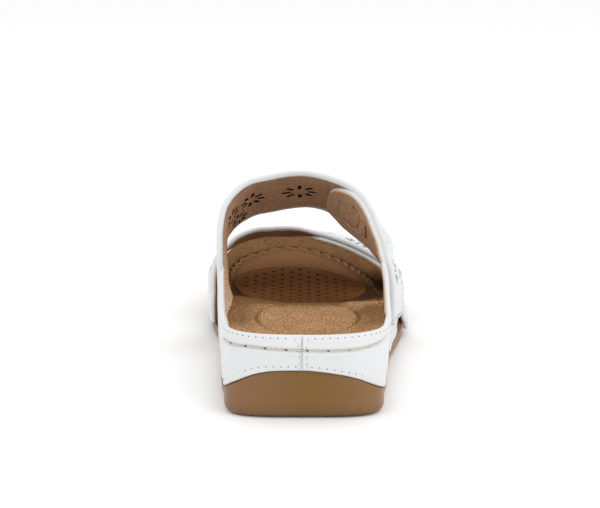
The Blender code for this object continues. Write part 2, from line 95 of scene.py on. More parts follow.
# The leather's inner face, out from the tread's edge: station, medial top and foot, lateral top and foot
SEAT = [
    (0, 0.0, -1.9, 0.2, -1.9), (15, -1.2, -1.9, 0.0, -1.9), (30, -1.9, -2.0, -0.3, -1.9),
    (50, -1.9, -2.0, -1.0, -1.9), (75, -1.4, -1.9, -2.0, -2.2), (90, -1.3, -1.8, -3.1, -2.7),
    (104, -1.6, -1.8, -3.5, -3.3), (118, -1.8, -1.8, -3.5, -3.5), (135, -0.8, -0.8, -4.4, -4.4),
    (160, -0.8, -0.8, -4.6, -4.6), (200, -0.8, -0.8, -2.6, -2.6), (256, -1.2, -1.5, -1.2, -1.5),
]
LEAN = {-1: -0.001, 1: 0.008}      # how fast the side wings lean inwards with height
LEAN_HEIGHT = 18.0                 # over the top edge, where the lean ends

# A band round the foot, as its rear and front edges: place along it, then x, y, z of each edge of the inner face.
# x is None where the band lies flat on the sandal's side.
INSTEP = [
    (0, None, 82, 6.8, None, 112, 6.8), (12, None, 80, 19, None, 110, 17), (22, None, 78.5, 31, None, 109.5, 28),
    (34, -36.4, 80, 46, -37.4, 115.5, 36.4), (48, -36.8, 85.5, 59.2, -37.8, 127, 45.6),
    (60, -35.7, 94, 69.6, -33.9, 140, 51.8), (70, -31.9, 104, 75.2, -29.5, 147, 54.4),
    (82, -23.2, 113, 79.8, -21.4, 152, 57.2), (94, -9.2, 118, 81.0, -9, 154.5, 58.2),
    (106, 4.2, 118.5, 79.4, 4.2, 154.5, 57.6), (118, 16.6, 115, 76.1, 13.2, 152.5, 55.0),
    (128, 23.6, 110.5, 71.9, 19.1, 149, 50.2), (137, 27.2, 104.5, 67.3, 24.6, 142.5, 46.8),
    (147, 30.1, 97, 60.8, 30.7, 134, 43.3), (158, 33.2, 89.5, 52.5, 35.0, 126.5, 39.4),
    (169, 35.6, 84, 43.6, 38.3, 121, 34.1), (180, None, 80.5, 32.5, None, 118.5, 27),
    (192, None, 79.5, 19.5, None, 117.5, 17), (204, None, 81, 6.8, None, 118, 6.8),
]
TOE = [
    (0, None, 137, 6.8, None, 176, 6.8), (9, None, 137, 15.5, None, 177, 14.5),
    (17, None, 139, 22.9, None, 179, 21.8), (24, -42.4, 141.5, 31, -44, 181, 26.8),
    (31, -40.6, 145.5, 37.2, -41.6, 183.5, 30.2), (38, -36.8, 150.5, 41.3, -38, 187, 33.0),
    (46, -33, 158, 43.9, -32.6, 192.5, 35.3), (54, -28, 164, 45.4, -25, 199, 36.4),
    (62, -21.8, 168.5, 46.2, -17.2, 203, 36.8), (70, -15, 170.8, 45.8, -9, 205, 36),
    (78, -8, 172.3, 44.3, -2, 205.5, 34.8), (86, -0.5, 173, 42.2, 5, 205, 34), (94, 6.5, 173, 40.4, 12, 203.5, 33.8),
    (102, 14, 170.5, 38.6, 18.5, 200, 33.6), (110, 21, 165.7, 36.9, 25, 193.5, 32.4),
    (119, 28.5, 158.5, 34.7, 31.5, 187, 30), (127, 35, 151, 32.2, 38, 180.5, 26.8),
    (133, 39.2, 146, 29.6, 42.4, 176.5, 24.6), (141, None, 140, 23.2, None, 173, 21.7),
    (149, None, 137, 15, None, 170, 14), (157, None, 136, 6.8, None, 169, 6.8),
]
# Each strap and tab: from, to (places along the band), margin from its edges, rounded end's radius
INSTEP_STRAP = (0.0, 193.0, 0.0, 7.0)
INSTEP_TAB = (204.0, 113.0, 0.6, 13.0)
TOE_STRAP = (0.0, 154.5, 0.0, 6.0)
TOE_TAB = (157.0, 88.5, 0.5, 9.0)
# Where each strap steps up from the foot to lie over its tab
INSTEP_STEP = (86.0, 105.0)
TOE_STEP = (66.0, 86.0)
OVER = 0.4                         # room between a tab and the strap above it
# The hook-and-loop patch that holds the instep strap to its tab: from, to, margin from the edges
INSTEP_PATCH = (122.0, 138.0, 10.0)

WRAP_END = {-1: 106.0, 1: 114.0}   # stations where the heel wrap stops
# How far the wrap's top line stands over the top edge: station, height
WING = [(0, 0.8), (40, 0.8), (60, 2.4), (75, 9.2), (82, 15.5), (86, 15.5), (93, 7.0), (102, 3.0), (114, 2.0)]
# Height of the rubber's top edge round the heel: signed place round the outline from the heel's back, height
CREST = [
    (-0.1, 6.5), (-0.085, 7.4), (-0.073, 8.8), (-0.062, 10.5), (-0.048, 14.1), (-0.0377, 17.2), (-0.029, 19.0),
    (-0.0215, 19.8), (-0.0115, 20.15), (0.0, 20.2), (0.0065, 19.95), (0.014, 19.35), (0.0255, 18.0), (0.0367, 15.8),
    (0.044, 13.7), (0.05, 12.0), (0.0578, 10.3), (0.07, 8.4), (0.085, 7.1), (0.1, 6.5),
]
RIM_END = {-1: 107.0, 1: 115.0}    # stations where the toe rim stops
# Width of the toe rim: station, medial side, lateral side
SEAM_INSET = [
    (100, 1.0, 1.0), (108, 2.2, 1.6), (116, 4.2, 3.6), (130, 6.0, 6.0), (150, 7.6, 8.2), (175, 8.8, 11.2),
    (191, 9.7, 14.2), (206, 10.9, 16.1), (219, 12.7, 17.5), (230, 15.8, 18.9), (241, 19.8, 20.8), (256, 23.0, 23.0),
]
BED_GAP = 0.4                      # room under the footbed and the toe rim
RIM_ROUND = 4.0                    # rounding over the toe rim's outer edge


def blend(rows, column, at):
    """Smooth curve through one column of a table whose first column rises."""
    if at <= rows[0][0]:
        return rows[0][column]
    if at >= rows[-1][0]:
        return rows[-1][column]
    i = next(k for k in range(len(rows) - 1) if rows[k + 1][0] >= at)
    x0, x1 = rows[i][0], rows[i + 1][0]
    v0, v1 = rows[i][column], rows[i + 1][column]
    step = (v1 - v0) / (x1 - x0)

    def slope(k):
        if k in (0, len(rows) - 1):
            return step
        before = (rows[k][column] - rows[k - 1][column]) / (rows[k][0] - rows[k - 1][0])
        after = (rows[k + 1][column] - rows[k][column]) / (rows[k + 1][0] - rows[k][0])
        return 0.0 if before * after <= 0 else 2 * before * after / (before + after)

    t = (at - x0) / (x1 - x0)
    h = x1 - x0
    a, b = slope(i) * h, slope(i + 1) * h
    return v0 + t * (a + t * (3 * (v1 - v0) - 2 * a - b + t * (a + b - 2 * (v1 - v0))))


def smooth(low, high, at):
    """0 below low, 1 above high, with an easy start and end."""
    t = min(1.0, max(0.0, (at - low) / (high - low)))
    return t * t * (3 - 2 * t)


def edge_x(y, side, down=1.0):
    """x of the edge at a station, medial (-1) or lateral (+1); down is 0 at the top edge and 1 at the tread."""
    x = blend(EDGE, 1 if side < 0 else 2, y)
    length = HEEL_ROUND[0] + (HEEL_ROUND[1] - HEEL_ROUND[0]) * down
    power = HEEL_POWER[0] + (HEEL_POWER[1] - HEEL_POWER[0]) * down
    if y < length:
        x *= (1 - (1 - max(y, 0) / length) ** power) ** (1 / power)
    start = TOE_START[side]
    if y > start:
        far = min(1.0, (y - start) / (LENGTH - start))
        x = TOE_X + (x - TOE_X) * (1 - far ** TOE_POWER[side]) ** (1 / TOE_POWER[side])
    return x


def half_way(side, down):
    """Share of the way round one side from the heel's back to the toe's tip, with the station there."""
    steps = 720
    stations = [LENGTH * (1 - math.cos(math.pi * k / steps)) / 2 for k in range(steps + 1)]
    points = [(edge_x(y, side, down), y) for y in stations]
    points[0] = (0.0, 0.0)
    gone = [0.0]
    for p, q in zip(points, points[1:]):
        gone.append(gone[-1] + math.dist(p, q))
    return [(g / gone[-1], y) for g, y in zip(gone, stations)]


WAY = {(side, down): half_way(side, down) for side in (-1, 1) for down in (0, 1)}


def straight(rows, key, at):
    """Straight-line reading of a two-column table, from column key to the other."""
    low, high = 0, len(rows) - 1
    while high - low > 1:
        mid = (low + high) // 2
        if rows[mid][key] <= at:
            low = mid
        else:
            high = mid
    first, last = rows[low], rows[high]
    t = (at - first[key]) / (last[key] - first[key])
    return first[1 - key] + (last[1 - key] - first[1 - key]) * min(1.0, max(0.0, t))


def half_turn(turn):
    """0 at the heel's back, 1 at the toe's tip."""
    turn %= 1.0
    return turn * 2 if turn <= 0.5 else 2 - turn * 2


def loop_place(turn):
    """(station, side) for a place round the outline: 0 heel back, 0.5 toe tip, first lateral then medial."""
    side = 1 if turn % 1.0 <= 0.5 else -1
    return straight(WAY[side, 1], 0, half_turn(turn)), side


def turn_at(y, side):
    """Place round the outline of a station on one side."""
    half = straight(WAY[side, 1], 1, y)
    return half / 2 if side > 0 else 1 - half / 2


def outline(turn, out=0.0, down=1.0):
    """(x, y) on the outline, moved outwards by a distance; down is 0 at the top edge and 1 at the tread."""
    def at(place):
        half, side = half_turn(place), 1 if place % 1.0 <= 0.5 else -1
        top, foot = (straight(WAY[side, level], 0, half) for level in (0, 1))
        return edge_x(top, side, 0) * (1 - down) + edge_x(foot, side, 1) * down, top * (1 - down) + foot * down
    x, y = at(turn)
    ax, ay = at(turn - TURN_STEP / 2)
    bx, by = at(turn + TURN_STEP / 2)
    tx, ty = bx - ax, by - ay
    size = math.hypot(tx, ty)
    return x + out * ty / size, y - out * tx / size


def rim(y):
    return blend(HEIGHT, 2, y)


def seat_out(y, side, down):
    """How far the leather's inner face lies out from the tread; down is 0 at the top edge and 1 at the ledge."""
    first = 1 if side < 0 else 3
    top, foot = blend(SEAT, first, y), blend(SEAT, first + 1, y)
    return top + (foot - top) * down ** 2


def lean_in(y, side, z):
    """How far the side wings lean inwards at a height over the top edge."""
    return LEAN[side] * min(max(z - rim(y), 0.0), LEAN_HEIGHT) ** 2


def down_at(y, z):
    """0 at the top edge and over it, 1 at the ledge and under it."""
    return min(1.0, max(0.0, (rim(y) - z) / (rim(y) - LEDGE - GAP)))


def side_x(y, side, z):
    """x of the leather's inner face on one side."""
    down = down_at(y, z)
    return edge_x(y, side, down) + side * (seat_out(y, side, down) - lean_in(y, side, z))


def share_table(band):
    """A band's table with x as a share of the way from the medial side (0) to the lateral side (1)."""
    rows = []
    middle = (band[0][0] + band[-1][0]) / 2
    for place, *edges in band:
        row = [place]
        for x, y, z in (edges[:3], edges[3:]):
            left, right = side_x(y, -1, z), side_x(y, 1, z)
            share = (0.0 if place < middle else 1.0) if x is None else (x - left) / (right - left)
            row += [share, y, z]
        rows.append(row)
    return rows


def band_point(table, place, across):
    """Point on a band's inner face; across is 0 at its rear edge and 1 at its front edge."""
    share, y, z = (
        blend(table, column, place) * (1 - across) + blend(table, column + 3, place) * across for column in (1, 2, 3)
    )
    return Vector((side_x(y, -1, z) * (1 - share) + side_x(y, 1, z) * share, y, z))


def wrap_head(turn):
    """Height of the wrap's top line."""
    y = loop_place(turn)[0]
    return rim(y) + blend(WING, 1, y)


def wrap_point(turn, z, lift=0.0):
    """Point on the heel wrap's inner face."""
    y, side = loop_place(turn)
    down = down_at(y, z)
    x, flat_y = outline(turn, seat_out(y, side, down) - lean_in(y, side, z) + lift, down)
    return Vector((x, flat_y, z))


def bed_point(turn, share):
    """(x, y) on the footbed: share 0 is its middle line and 1 the leather's inner face."""
    y, side = loop_place(turn)
    x, flat_y = outline(turn, seat_out(y, side, 0) - GAP, 0.0)
    middle_y = HEEL_MIDDLE + (TOE_MIDDLE - HEEL_MIDDLE) * (1 - math.cos(math.pi * half_turn(turn))) / 2
    middle_x = (edge_x(middle_y, -1) + edge_x(middle_y, 1)) / 2
    return middle_x + (x - middle_x) * share, middle_y + (flat_y - middle_y) * share


def bed_height(y, turn, share):
    """Top of the footbed: dished, with the medial arch raised."""
    low, high = blend(HEIGHT, 3, y), rim(y) - LIP
    side = -1 if turn > 0.5 else 1
    rise, station, width = ARCH
    arch = rise * math.exp(-((y - station) / width) ** 2) * max(0.0, share - 0.25) if side < 0 else 0.0
    return low + (high - low) * share ** DISH_POWER + arch * (1.0 - share ** 6)


def seam_share(turn):
    """Where the seam between the footbed and the toe rim crosses a column."""
    y, side = loop_place(turn)
    ax, ay = bed_point(turn, 0)
    bx, by = bed_point(turn, 1)
    return 1 - blend(SEAM_INSET, 1 if side < 0 else 2, y) / math.hypot(bx - ax, by - ay)


def beside_rim(turn):
    """Whether the toe rim runs past a column."""
    return turn_at(RIM_END[1], 1) <= turn % 1.0 <= turn_at(RIM_END[-1], -1)


def bedding(y):
    """Height of the sole's top, which carries the footbed."""
    return blend(HEIGHT, 3, y) - FOOTBED_DEPTH


def crest(turn):
    """Top of the full-width rubber: the ledge, climbing in an arch at the heel's back."""
    y = loop_place(turn)[0]
    lift = blend(HEIGHT, 1, y) * 0.6 if y > 20 else 0.0
    return lift + blend(CREST, 1, (turn + 0.5) % 1.0 - 0.5)


# Surfaces and meshes

INSIDE = (0.0, 130.0, 20.0)        # a point in the room for the foot, from which the straps' faces look away

class Surface:
    """A sheet sampled on a lattice, from which points and outward normals are read anywhere."""

    def __init__(self, point, us, vs, inside):
        self.us, self.vs = np.array(us, float), np.array(vs, float)
        self.points = np.array([[point(u, v) for v in vs] for u in us], float)
        along = np.gradient(self.points, self.us, axis=0)
        across = np.gradient(self.points, self.vs, axis=1)
        out = np.cross(along, across)
        out /= np.linalg.norm(out, axis=2, keepdims=True)
        faces_out = ((self.points - np.array(inside)) * out).sum()
        self.normals = out if faces_out > 0 else -out

    def read(self, lattice, u, v):
        u, v = np.broadcast_arrays(np.asarray(u, float), np.asarray(v, float))
        i = np.clip(np.searchsorted(self.us, u) - 1, 0, len(self.us) - 2)
        j = np.clip(np.searchsorted(self.vs, v) - 1, 0, len(self.vs) - 2)
        a = ((u - self.us[i]) / (self.us[i + 1] - self.us[i]))[..., None]
        b = ((v - self.vs[j]) / (self.vs[j + 1] - self.vs[j]))[..., None]
        near = lattice[i, j] * (1 - b) + lattice[i, j + 1] * b
        far = lattice[i + 1, j] * (1 - b) + lattice[i + 1, j + 1] * b
        return near * (1 - a) + far * a

    def normal(self, u, v):
        out = self.read(self.normals, u, v)
        return out / np.linalg.norm(out, axis=-1, keepdims=True)

    def at(self, u, v, lift=0.0):
        return self.read(self.points, u, v) + self.normal(u, v) * np.asarray(lift, float)[..., None]


def mesh_data(name, mesh):
    data = bpy.data.meshes.new(name)
    mesh.to_mesh(data)
    mesh.free()
    return data


def linked(name, data):
    made = bpy.data.objects.new(name, data)
    bpy.context.collection.objects.link(made)
    return made


def place_object(name, mesh):
    data = mesh_data(name, mesh)
    data.shade_smooth()
    return linked(name, data)


def to_frame(points):
    return [Vector(p) for p in (np.asarray(points, float) + SHIFT) * MM]


def tidy_mesh(mesh):
    """Merges doubles, drops faces that have no area and turns every face outwards."""
    bmesh.ops.remove_doubles(mesh, verts=mesh.verts, dist=2e-6)
    bmesh.ops.dissolve_degenerate(mesh, dist=1e-7, edges=mesh.edges)
    bmesh.ops.recalc_face_normals(mesh, faces=mesh.faces)
    if mesh.calc_volume(signed=True) < 0:
        bmesh.ops.reverse_faces(mesh, faces=mesh.faces)


def loft(name, rows, tones=None, capped=False):
    """Object from closed rows of points in millimetres; tones are kept on the points as the attribute tone."""
    mesh = bmesh.new()
    layer = mesh.verts.layers.float.new("tone") if tones is not None else None
    laid = []
    for r, row in enumerate(rows):
        line = [mesh.verts.new(p) for p in to_frame(row)]
        if layer:
            for vert, tone in zip(line, tones[r]):
                vert[layer] = float(tone)
        laid.append(line)
    for low, high in zip(laid, laid[1:]):
        for i, j in zip(range(len(low)), [*range(1, len(low)), 0]):
            mesh.faces.new((low[i], low[j], high[j], high[i]))
    if capped:
        mesh.faces.new(laid[0])
        mesh.faces.new(laid[-1])
    tidy_mesh(mesh)
    return place_object(name, mesh)


def cushion(name, top, bottom):
    """Closed sheet from two grids of points that meet along their sides and their last row."""
    return loft(name, np.concatenate([top, bottom[:, ::-1]], axis=1), capped=True)


def rounding(depth, radius):
    """0 at a sheet's edge and 1 from a radius inside it, as a quarter circle."""
    return np.sqrt(np.maximum(0.0, 1 - (1 - np.clip(depth / radius, 0, 1)) ** 2))


def bell(distance, width):
    return np.exp(-(np.asarray(distance) / width) ** 2)


def edge_steps(radius):
    return radius * np.array((0.0, 0.04, 0.16, 0.36, 0.65, 1.0))


STRAP_STEP = 1.2                   # between a strap's rows of points
STRAP_MIDDLE = 26                  # points across a strap between its rounded edges
SEAM_STEP = 0.8                    # between the points of a stitch line
# Steps of a strap's rounded free end, in degrees
ROUND_END = (9, 18, 27, 36, 45, 53, 60, 66, 72, 77, 82, 86, 90)


class Band:
    """A strap's course round the foot."""

    def __init__(self, table):
        shares = share_table(table)
        places = np.arange(table[0][0], table[-1][0] + 0.5, 1.0)
        self.surface = Surface(lambda u, v: band_point(shares, u, v), places, np.linspace(0, 1, 25), INSIDE)
        self.widths = np.linalg.norm(self.surface.points[:, -1] - self.surface.points[:, 0], axis=1)

    def width(self, place):
        return np.interp(place, self.surface.us, self.widths)

    def outline(self, shape, s, w):
        """Depth inside a strap's outline, square at its first end and rounded at its last."""
        first, last, margin, radius = shape
        length = abs(last - first)
        half = self.width(first + math.copysign(1, last - first) * s) / 2 - margin
        over_end, over_side = s - (length - radius), np.abs(w) - (half - radius)
        corner = (over_end > 0) & (over_side > 0)
        return np.where(corner, radius - np.hypot(over_end, over_side), np.minimum(half - np.abs(w), length - s))

    def strap(self, name, shape, low, high, stand, relief=None, relief_in=None):
        """Closed strap between two lifts over the band, with rounded edges."""
        first, last, margin, radius = shape
        length, way = abs(last - first), math.copysign(1, last - first)
        body = np.linspace(0, length - radius, int((length - radius) / STRAP_STEP) + 2)
        end = length - radius + radius * np.sin(np.radians(ROUND_END))
        s = np.concatenate([body, end])[:, None]
        place = first + way * s
        from_end = np.clip(length - s, 0, radius)
        inset = margin + radius - np.sqrt(np.maximum(0, radius ** 2 - (radius - from_end) ** 2))
        half = self.width(place) / 2 - inset
        thick = (high(place) - low(place)).max() / 2
        side = edge_steps(thick)
        inner = np.linspace(0, 1, STRAP_MIDDLE)[1:-1][None]
        w = np.concatenate([-half + side, -(half - thick) + 2 * (half - thick) * inner, half - side[::-1]], axis=1)
        depth = self.outline(shape, s, w)
        across = 0.5 + w / self.width(place)
        round_it = rounding(depth, thick)
        middle_lift, room = (high(place) + low(place)) / 2, (high(place) - low(place)) / 2
        extra, extra_in = (
            made(place, w, depth) * np.clip(depth / 1.2, 0, 1) if made else 0.0 for made in (relief, relief_in))
        top = self.surface.at(place, across, middle_lift + room * round_it + extra + stand(place, across))
        bottom = self.surface.at(place, across, middle_lift - room * round_it - extra_in)
        return cushion(name, top, bottom)

    def seam(self, shape, inset, lift, stand, start):
        """Line inside a strap's outline, round its free end, with the outward normals."""
        first, last, margin, radius = shape
        length, way = abs(last - first), math.copysign(1, last - first)
        turn_radius = max(radius - inset, 1.5)
        corner = length - inset - turn_radius
        bend, straight_run = np.radians(np.arange(0, 91, 6)), np.arange(start, corner, SEAM_STEP)
        s = np.concatenate([straight_run, corner + turn_radius * np.sin(bend)])
        fall = np.concatenate([0 * straight_run, turn_radius * (1 - np.cos(bend))])
        w = self.width(first + way * s) / 2 - margin - inset - fall
        s, w = np.concatenate([s, s[::-1]]), np.concatenate([-w, w[::-1]])
        place = first + way * s
        across = 0.5 + w / self.width(place)
        return self.surface.at(place, across, lift(place) + stand(place, across)), self.surface.normal(place, across)


# Shader and geometry node trees

KEPT = {}


def kept(name, make):
    """Surfaces and materials that several pieces share are made once."""
    if name not in KEPT:
        KEPT[name] = make()
    return KEPT[name]


def group(name):
    """Decorator for a maker of a node group: the group is made once, then found by its name."""
    def decorate(make):
        return lambda: bpy.data.node_groups.get(name) or make(name)
    return decorate


def add(tree, kind, inputs=None, **settings):
    """Adds a node with its settings; an input is a value or another node's socket."""
    made = tree.nodes.new(kind)
    for key, value in settings.items():
        setattr(made, key, value)
    for key, value in (inputs or {}).items():
        if isinstance(value, bpy.types.NodeSocket):
            tree.links.new(value, made.inputs[key])
        else:
            made.inputs[key].default_value = value
    return made


def maths(tree, operation, *values, clamp=False):
    return add(tree, "ShaderNodeMath", dict(enumerate(values)), operation=operation, use_clamp=clamp).outputs[0]


def times(tree, first, second):
    return maths(tree, "MULTIPLY", first, second)


def vector_maths(tree, operation, first, second):
    return add(tree, "ShaderNodeVectorMath", {0: first, 1: second}, operation=operation).outputs[0]


def noise(tree, vector, scale, detail=2.0, rough=0.5, output="Fac"):
    return add(tree, "ShaderNodeTexNoise", {
        "Vector": vector, "Scale": scale, "Detail": detail, "Roughness": rough}).outputs[output]


def remap(tree, value, low, high, to_low=0.0, to_high=1.0):
    return add(tree, "ShaderNodeMapRange", {
        "Value": value, "From Min": low, "From Max": high, "To Min": to_low, "To Max": to_high}).outputs["Result"]


def mix_colour(tree, share, first, second, kind="MIX"):
    made = add(tree, "ShaderNodeMix", data_type="RGBA", blend_type=kind)
    sockets = {socket.identifier: socket for socket in made.inputs}
    for key, value in (("Factor_Float", share), ("A_Color", first), ("B_Color", second)):
        if isinstance(value, bpy.types.NodeSocket):
            tree.links.new(value, sockets[key])
        else:
            sockets[key].default_value = (*value[:3], 1.0)
    return next(s for s in made.outputs if s.identifier == "Result_Color")


def new_group(name, kind, inputs, outputs):
    """Empty node group; inputs map names to (type, default). Returns it with its given and result sockets."""
    tree = bpy.data.node_groups.new(name, kind)
    for label, (socket, default) in inputs.items():
        made = tree.interface.new_socket(label, in_out="INPUT", socket_type="NodeSocket" + socket)
        if default is not None:
            made.default_value = default
    for label, socket in outputs.items():
        tree.interface.new_socket(label, in_out="OUTPUT", socket_type="NodeSocket" + socket)
    return tree, tree.nodes.new("NodeGroupInput").outputs, tree.nodes.new("NodeGroupOutput").inputs


@group("leather_grain")
def grain_group(name):
    """Leather grain: rounded pebbles with fine creases between them."""
    tree, given, result = new_group(name, "ShaderNodeTree", {"Vector": ("Vector", None), "Scale": ("Float", 900.0)},
                                    {"Height": "Float", "Crease": "Float"})
    bend = noise(tree, given["Vector"], 260.0, output="Color")
    moved = vector_maths(tree, "MULTIPLY", bend, (0.0012, 0.0012, 0.0012))
    vector = vector_maths(tree, "ADD", given["Vector"], moved)
    cells = add(tree, "ShaderNodeTexVoronoi", {"Vector": vector, "Scale": given["Scale"]}, feature="SMOOTH_F1")
    pebble = maths(tree, "SUBTRACT", 1.0, cells.outputs["Distance"])
    fine = noise(tree, vector, 2400.0, 3.0, 0.6)
    tree.links.new(maths(tree, "ADD", times(tree, pebble, 0.7), times(tree, fine, 0.3)), result["Height"])
    tree.links.new(remap(tree, cells.outputs["Distance"], 0.55, 0.9), result["Crease"])
    return tree


@group("nap")
def nap_group(name):
    """Suede or microfibre nap: short tufts, stroked patches and a fibrous height."""
    tree, given, result = new_group(
        name, "ShaderNodeTree", {"Vector": ("Vector", None), "Stroke": ("Vector", None), "Scale": ("Float", 1500.0),
                                 "Patch Scale": ("Float", 90.0)},
        {"Tuft": "Float", "Patch": "Float", "Height": "Float"})
    brushed = vector_maths(tree, "MULTIPLY", given["Vector"], given["Stroke"])
    tuft = noise(tree, brushed, given["Scale"], 4.0, 0.7)
    fine = noise(tree, given["Vector"], times(tree, given["Scale"], 2.7), 2.0, 0.6)
    both = maths(tree, "ADD", times(tree, tuft, 0.75), times(tree, fine, 0.25))
    tree.links.new(remap(tree, both, 0.37, 0.63), result["Tuft"])
    patch = noise(tree, given["Vector"], given["Patch Scale"], 3.0)
    tree.links.new(remap(tree, patch, 0.3, 0.7), result["Patch"])
    tree.links.new(both, result["Height"])
    return tree


@group("wear")
def wear_group(name):
    """Handling: soft blotches all over, and dust that gathers near the floor."""
    tree, given, result = new_group(
        name, "ShaderNodeTree", {"Vector": ("Vector", None), "Dust Height": ("Float", 0.012)},
        {"Blotch": "Float", "Dust": "Float"})
    tree.links.new(remap(tree, noise(tree, given["Vector"], 38.0, 4.0, 0.6), 0.3, 0.7), result["Blotch"])
    height = add(tree, "ShaderNodeSeparateXYZ", {0: given["Vector"]}).outputs["Z"]
    low = maths(tree, "SUBTRACT", 1.0, maths(tree, "DIVIDE", height, given["Dust Height"]), clamp=True)
    spots = remap(tree, noise(tree, given["Vector"], 420.0, 4.0, 0.7), 0.35, 0.7)
    tree.links.new(times(tree, low, spots), result["Dust"])
    return tree


def dim(colour, share):
    return tuple(c * share for c in colour[:3])


class Finish:
    """A material with a Principled shader; values that are the same everywhere are set on its own sockets."""

    def __init__(self, name, roughness, dust_height=None, **uniform):
        self.material = bpy.data.materials.new(name)
        self.material.use_nodes = True
        self.tree = self.material.node_tree
        self.shader = self.tree.nodes["Principled BSDF"]
        for key, value in {"Roughness": roughness, **uniform}.items():
            self.shader.inputs[key.replace("_", " ")].default_value = value
        self.where = add(self.tree, "ShaderNodeTexCoord").outputs["Object"]
        self.base = None
        if dust_height:
            self.worn = self.use(wear_group(), Vector=self.where, Dust_Height=dust_height)

    def use(self, node_group, **values):
        inputs = {key.replace("_", " "): value for key, value in values.items()}
        return add(self.tree, "ShaderNodeGroup", inputs, node_tree=node_group).outputs

    def lay(self, mask, strength, colour):
        """Mixes a colour over the base colour by a mask."""
        share = times(self.tree, mask, strength) if strength is not None else mask
        self.base = mix_colour(self.tree, share, self.base, colour)

    def done(self, height, strength, distance, rough=None):
        """Connects the base colour, a bump and, between two values of the blotches, the roughness."""
        made = add(self.tree, "ShaderNodeBump", {"Height": height, "Strength": strength, "Distance": distance})
        self.tree.links.new(made.outputs["Normal"], self.shader.inputs["Normal"])
        self.tree.links.new(self.base, self.shader.inputs["Base Color"])
        if rough:
            self.tree.links.new(remap(self.tree, self.worn["Blotch"], 0, 1, *rough), self.shader.inputs["Roughness"])
        return self.material


def leather_material(name, colour):
    made = Finish(name, 0.42, 0.02, Specular_IOR_Level=0.42)
    grained = made.use(grain_group(), Vector=made.where, Scale=950.0)
    made.base = colour[:3]
    made.lay(made.worn["Blotch"], 0.5, dim(colour, 0.95))
    made.lay(grained["Crease"], 0.35, dim(colour, 0.8))
    made.lay(made.worn["Dust"], 0.12, (0.35, 0.3, 0.24))
    return made.done(grained["Height"], 0.6, 0.00005, (0.37, 0.5))


def nap_material(name, light, dark, scale, contrast, depth, stroke=(1, 1, 1), tone_colours=(), calm=0.45):
    """Napped material; tone_colours adds the colours that the tone attribute blends in at 1, 2 and on."""
    made = Finish(name, 0.95, 0.001, Specular_IOR_Level=0.0, Sheen_Weight=0.012, Sheen_Roughness=0.5)
    tree = made.tree
    napped = made.use(nap_group(), Vector=made.where, Stroke=stroke, Scale=scale, Patch_Scale=95.0)
    made.base = light[:3]
    made.lay(napped["Patch"], 0.4, dark)
    tufts = times(tree, napped["Tuft"], contrast)
    if tone_colours:
        tone = add(tree, "ShaderNodeAttribute", attribute_name="tone").outputs["Fac"]
        for first, colour in enumerate(tone_colours):
            made.lay(remap(tree, tone, first, first + 1), None, colour)
        tufts = times(tree, tufts, remap(tree, tone, 1.0, 2.0, 1.0, calm))
    made.lay(made.worn["Blotch"], 0.2, dim(dark, 0.7))
    made.base = mix_colour(tree, tufts, made.base, (0.34, 0.28, 0.22), "MULTIPLY")
    return made.done(napped["Height"], 0.9, depth)


def rubber_material(name, colour, middle_shade):
    """Gum rubber: warmer in the middle of the sole and lighter on its lateral side."""
    made = Finish(name, 0.45, 0.006, Specular_IOR_Level=0.3)
    tree = made.tree
    across = add(tree, "ShaderNodeSeparateXYZ", {0: made.where}).outputs["X"]
    middle = remap(tree, maths(tree, "ABSOLUTE", across), 0.004, 0.034, 1.0, 0.0)
    cloud = remap(tree, noise(tree, made.where, 16.0, 2.0), 0.35, 0.65, 0.55, 1.0)
    made.base = colour[:3]
    # Painted shade: the middle of the sole darker and warmer, broken up by a cloud.
    made.lay(middle, cloud, middle_shade)
    # Painted light: the lateral side made lighter.
    made.lay(remap(tree, across, 0.016, 0.042, 0.0, 0.4), None, dim(colour, 1.5))
    made.lay(made.worn["Blotch"], 0.25, dim(colour, 0.8))
    made.lay(made.worn["Dust"], 0.55, (0.07, 0.05, 0.035))
    return made.done(noise(tree, made.where, 900.0, 3.0, 0.6), 0.5, 0.00005, (0.36, 0.5))


def thread_material(name, colour):
    made = Finish(name, 0.7, Specular_IOR_Level=0.25, Sheen_Weight=0.2)
    strand = noise(made.tree, made.where, 2600.0, 2.0)
    made.base = mix_colour(made.tree, remap(made.tree, strand, 0.4, 0.6), colour[:3], dim(colour, 0.62))
    return made.done(strand, 0.8, 0.00012)


def plain_material(name, colour):
    """Raw cut edges and needle holes: flat, dark and fibrous."""
    made = Finish(name, 0.8, Specular_IOR_Level=0.2)
    fibres = noise(made.tree, made.where, 1900.0, 3.0)
    made.base = mix_colour(made.tree, fibres, colour[:3], dim(colour, 0.55))
    return made.done(fibres, 0.6, 0.0001)


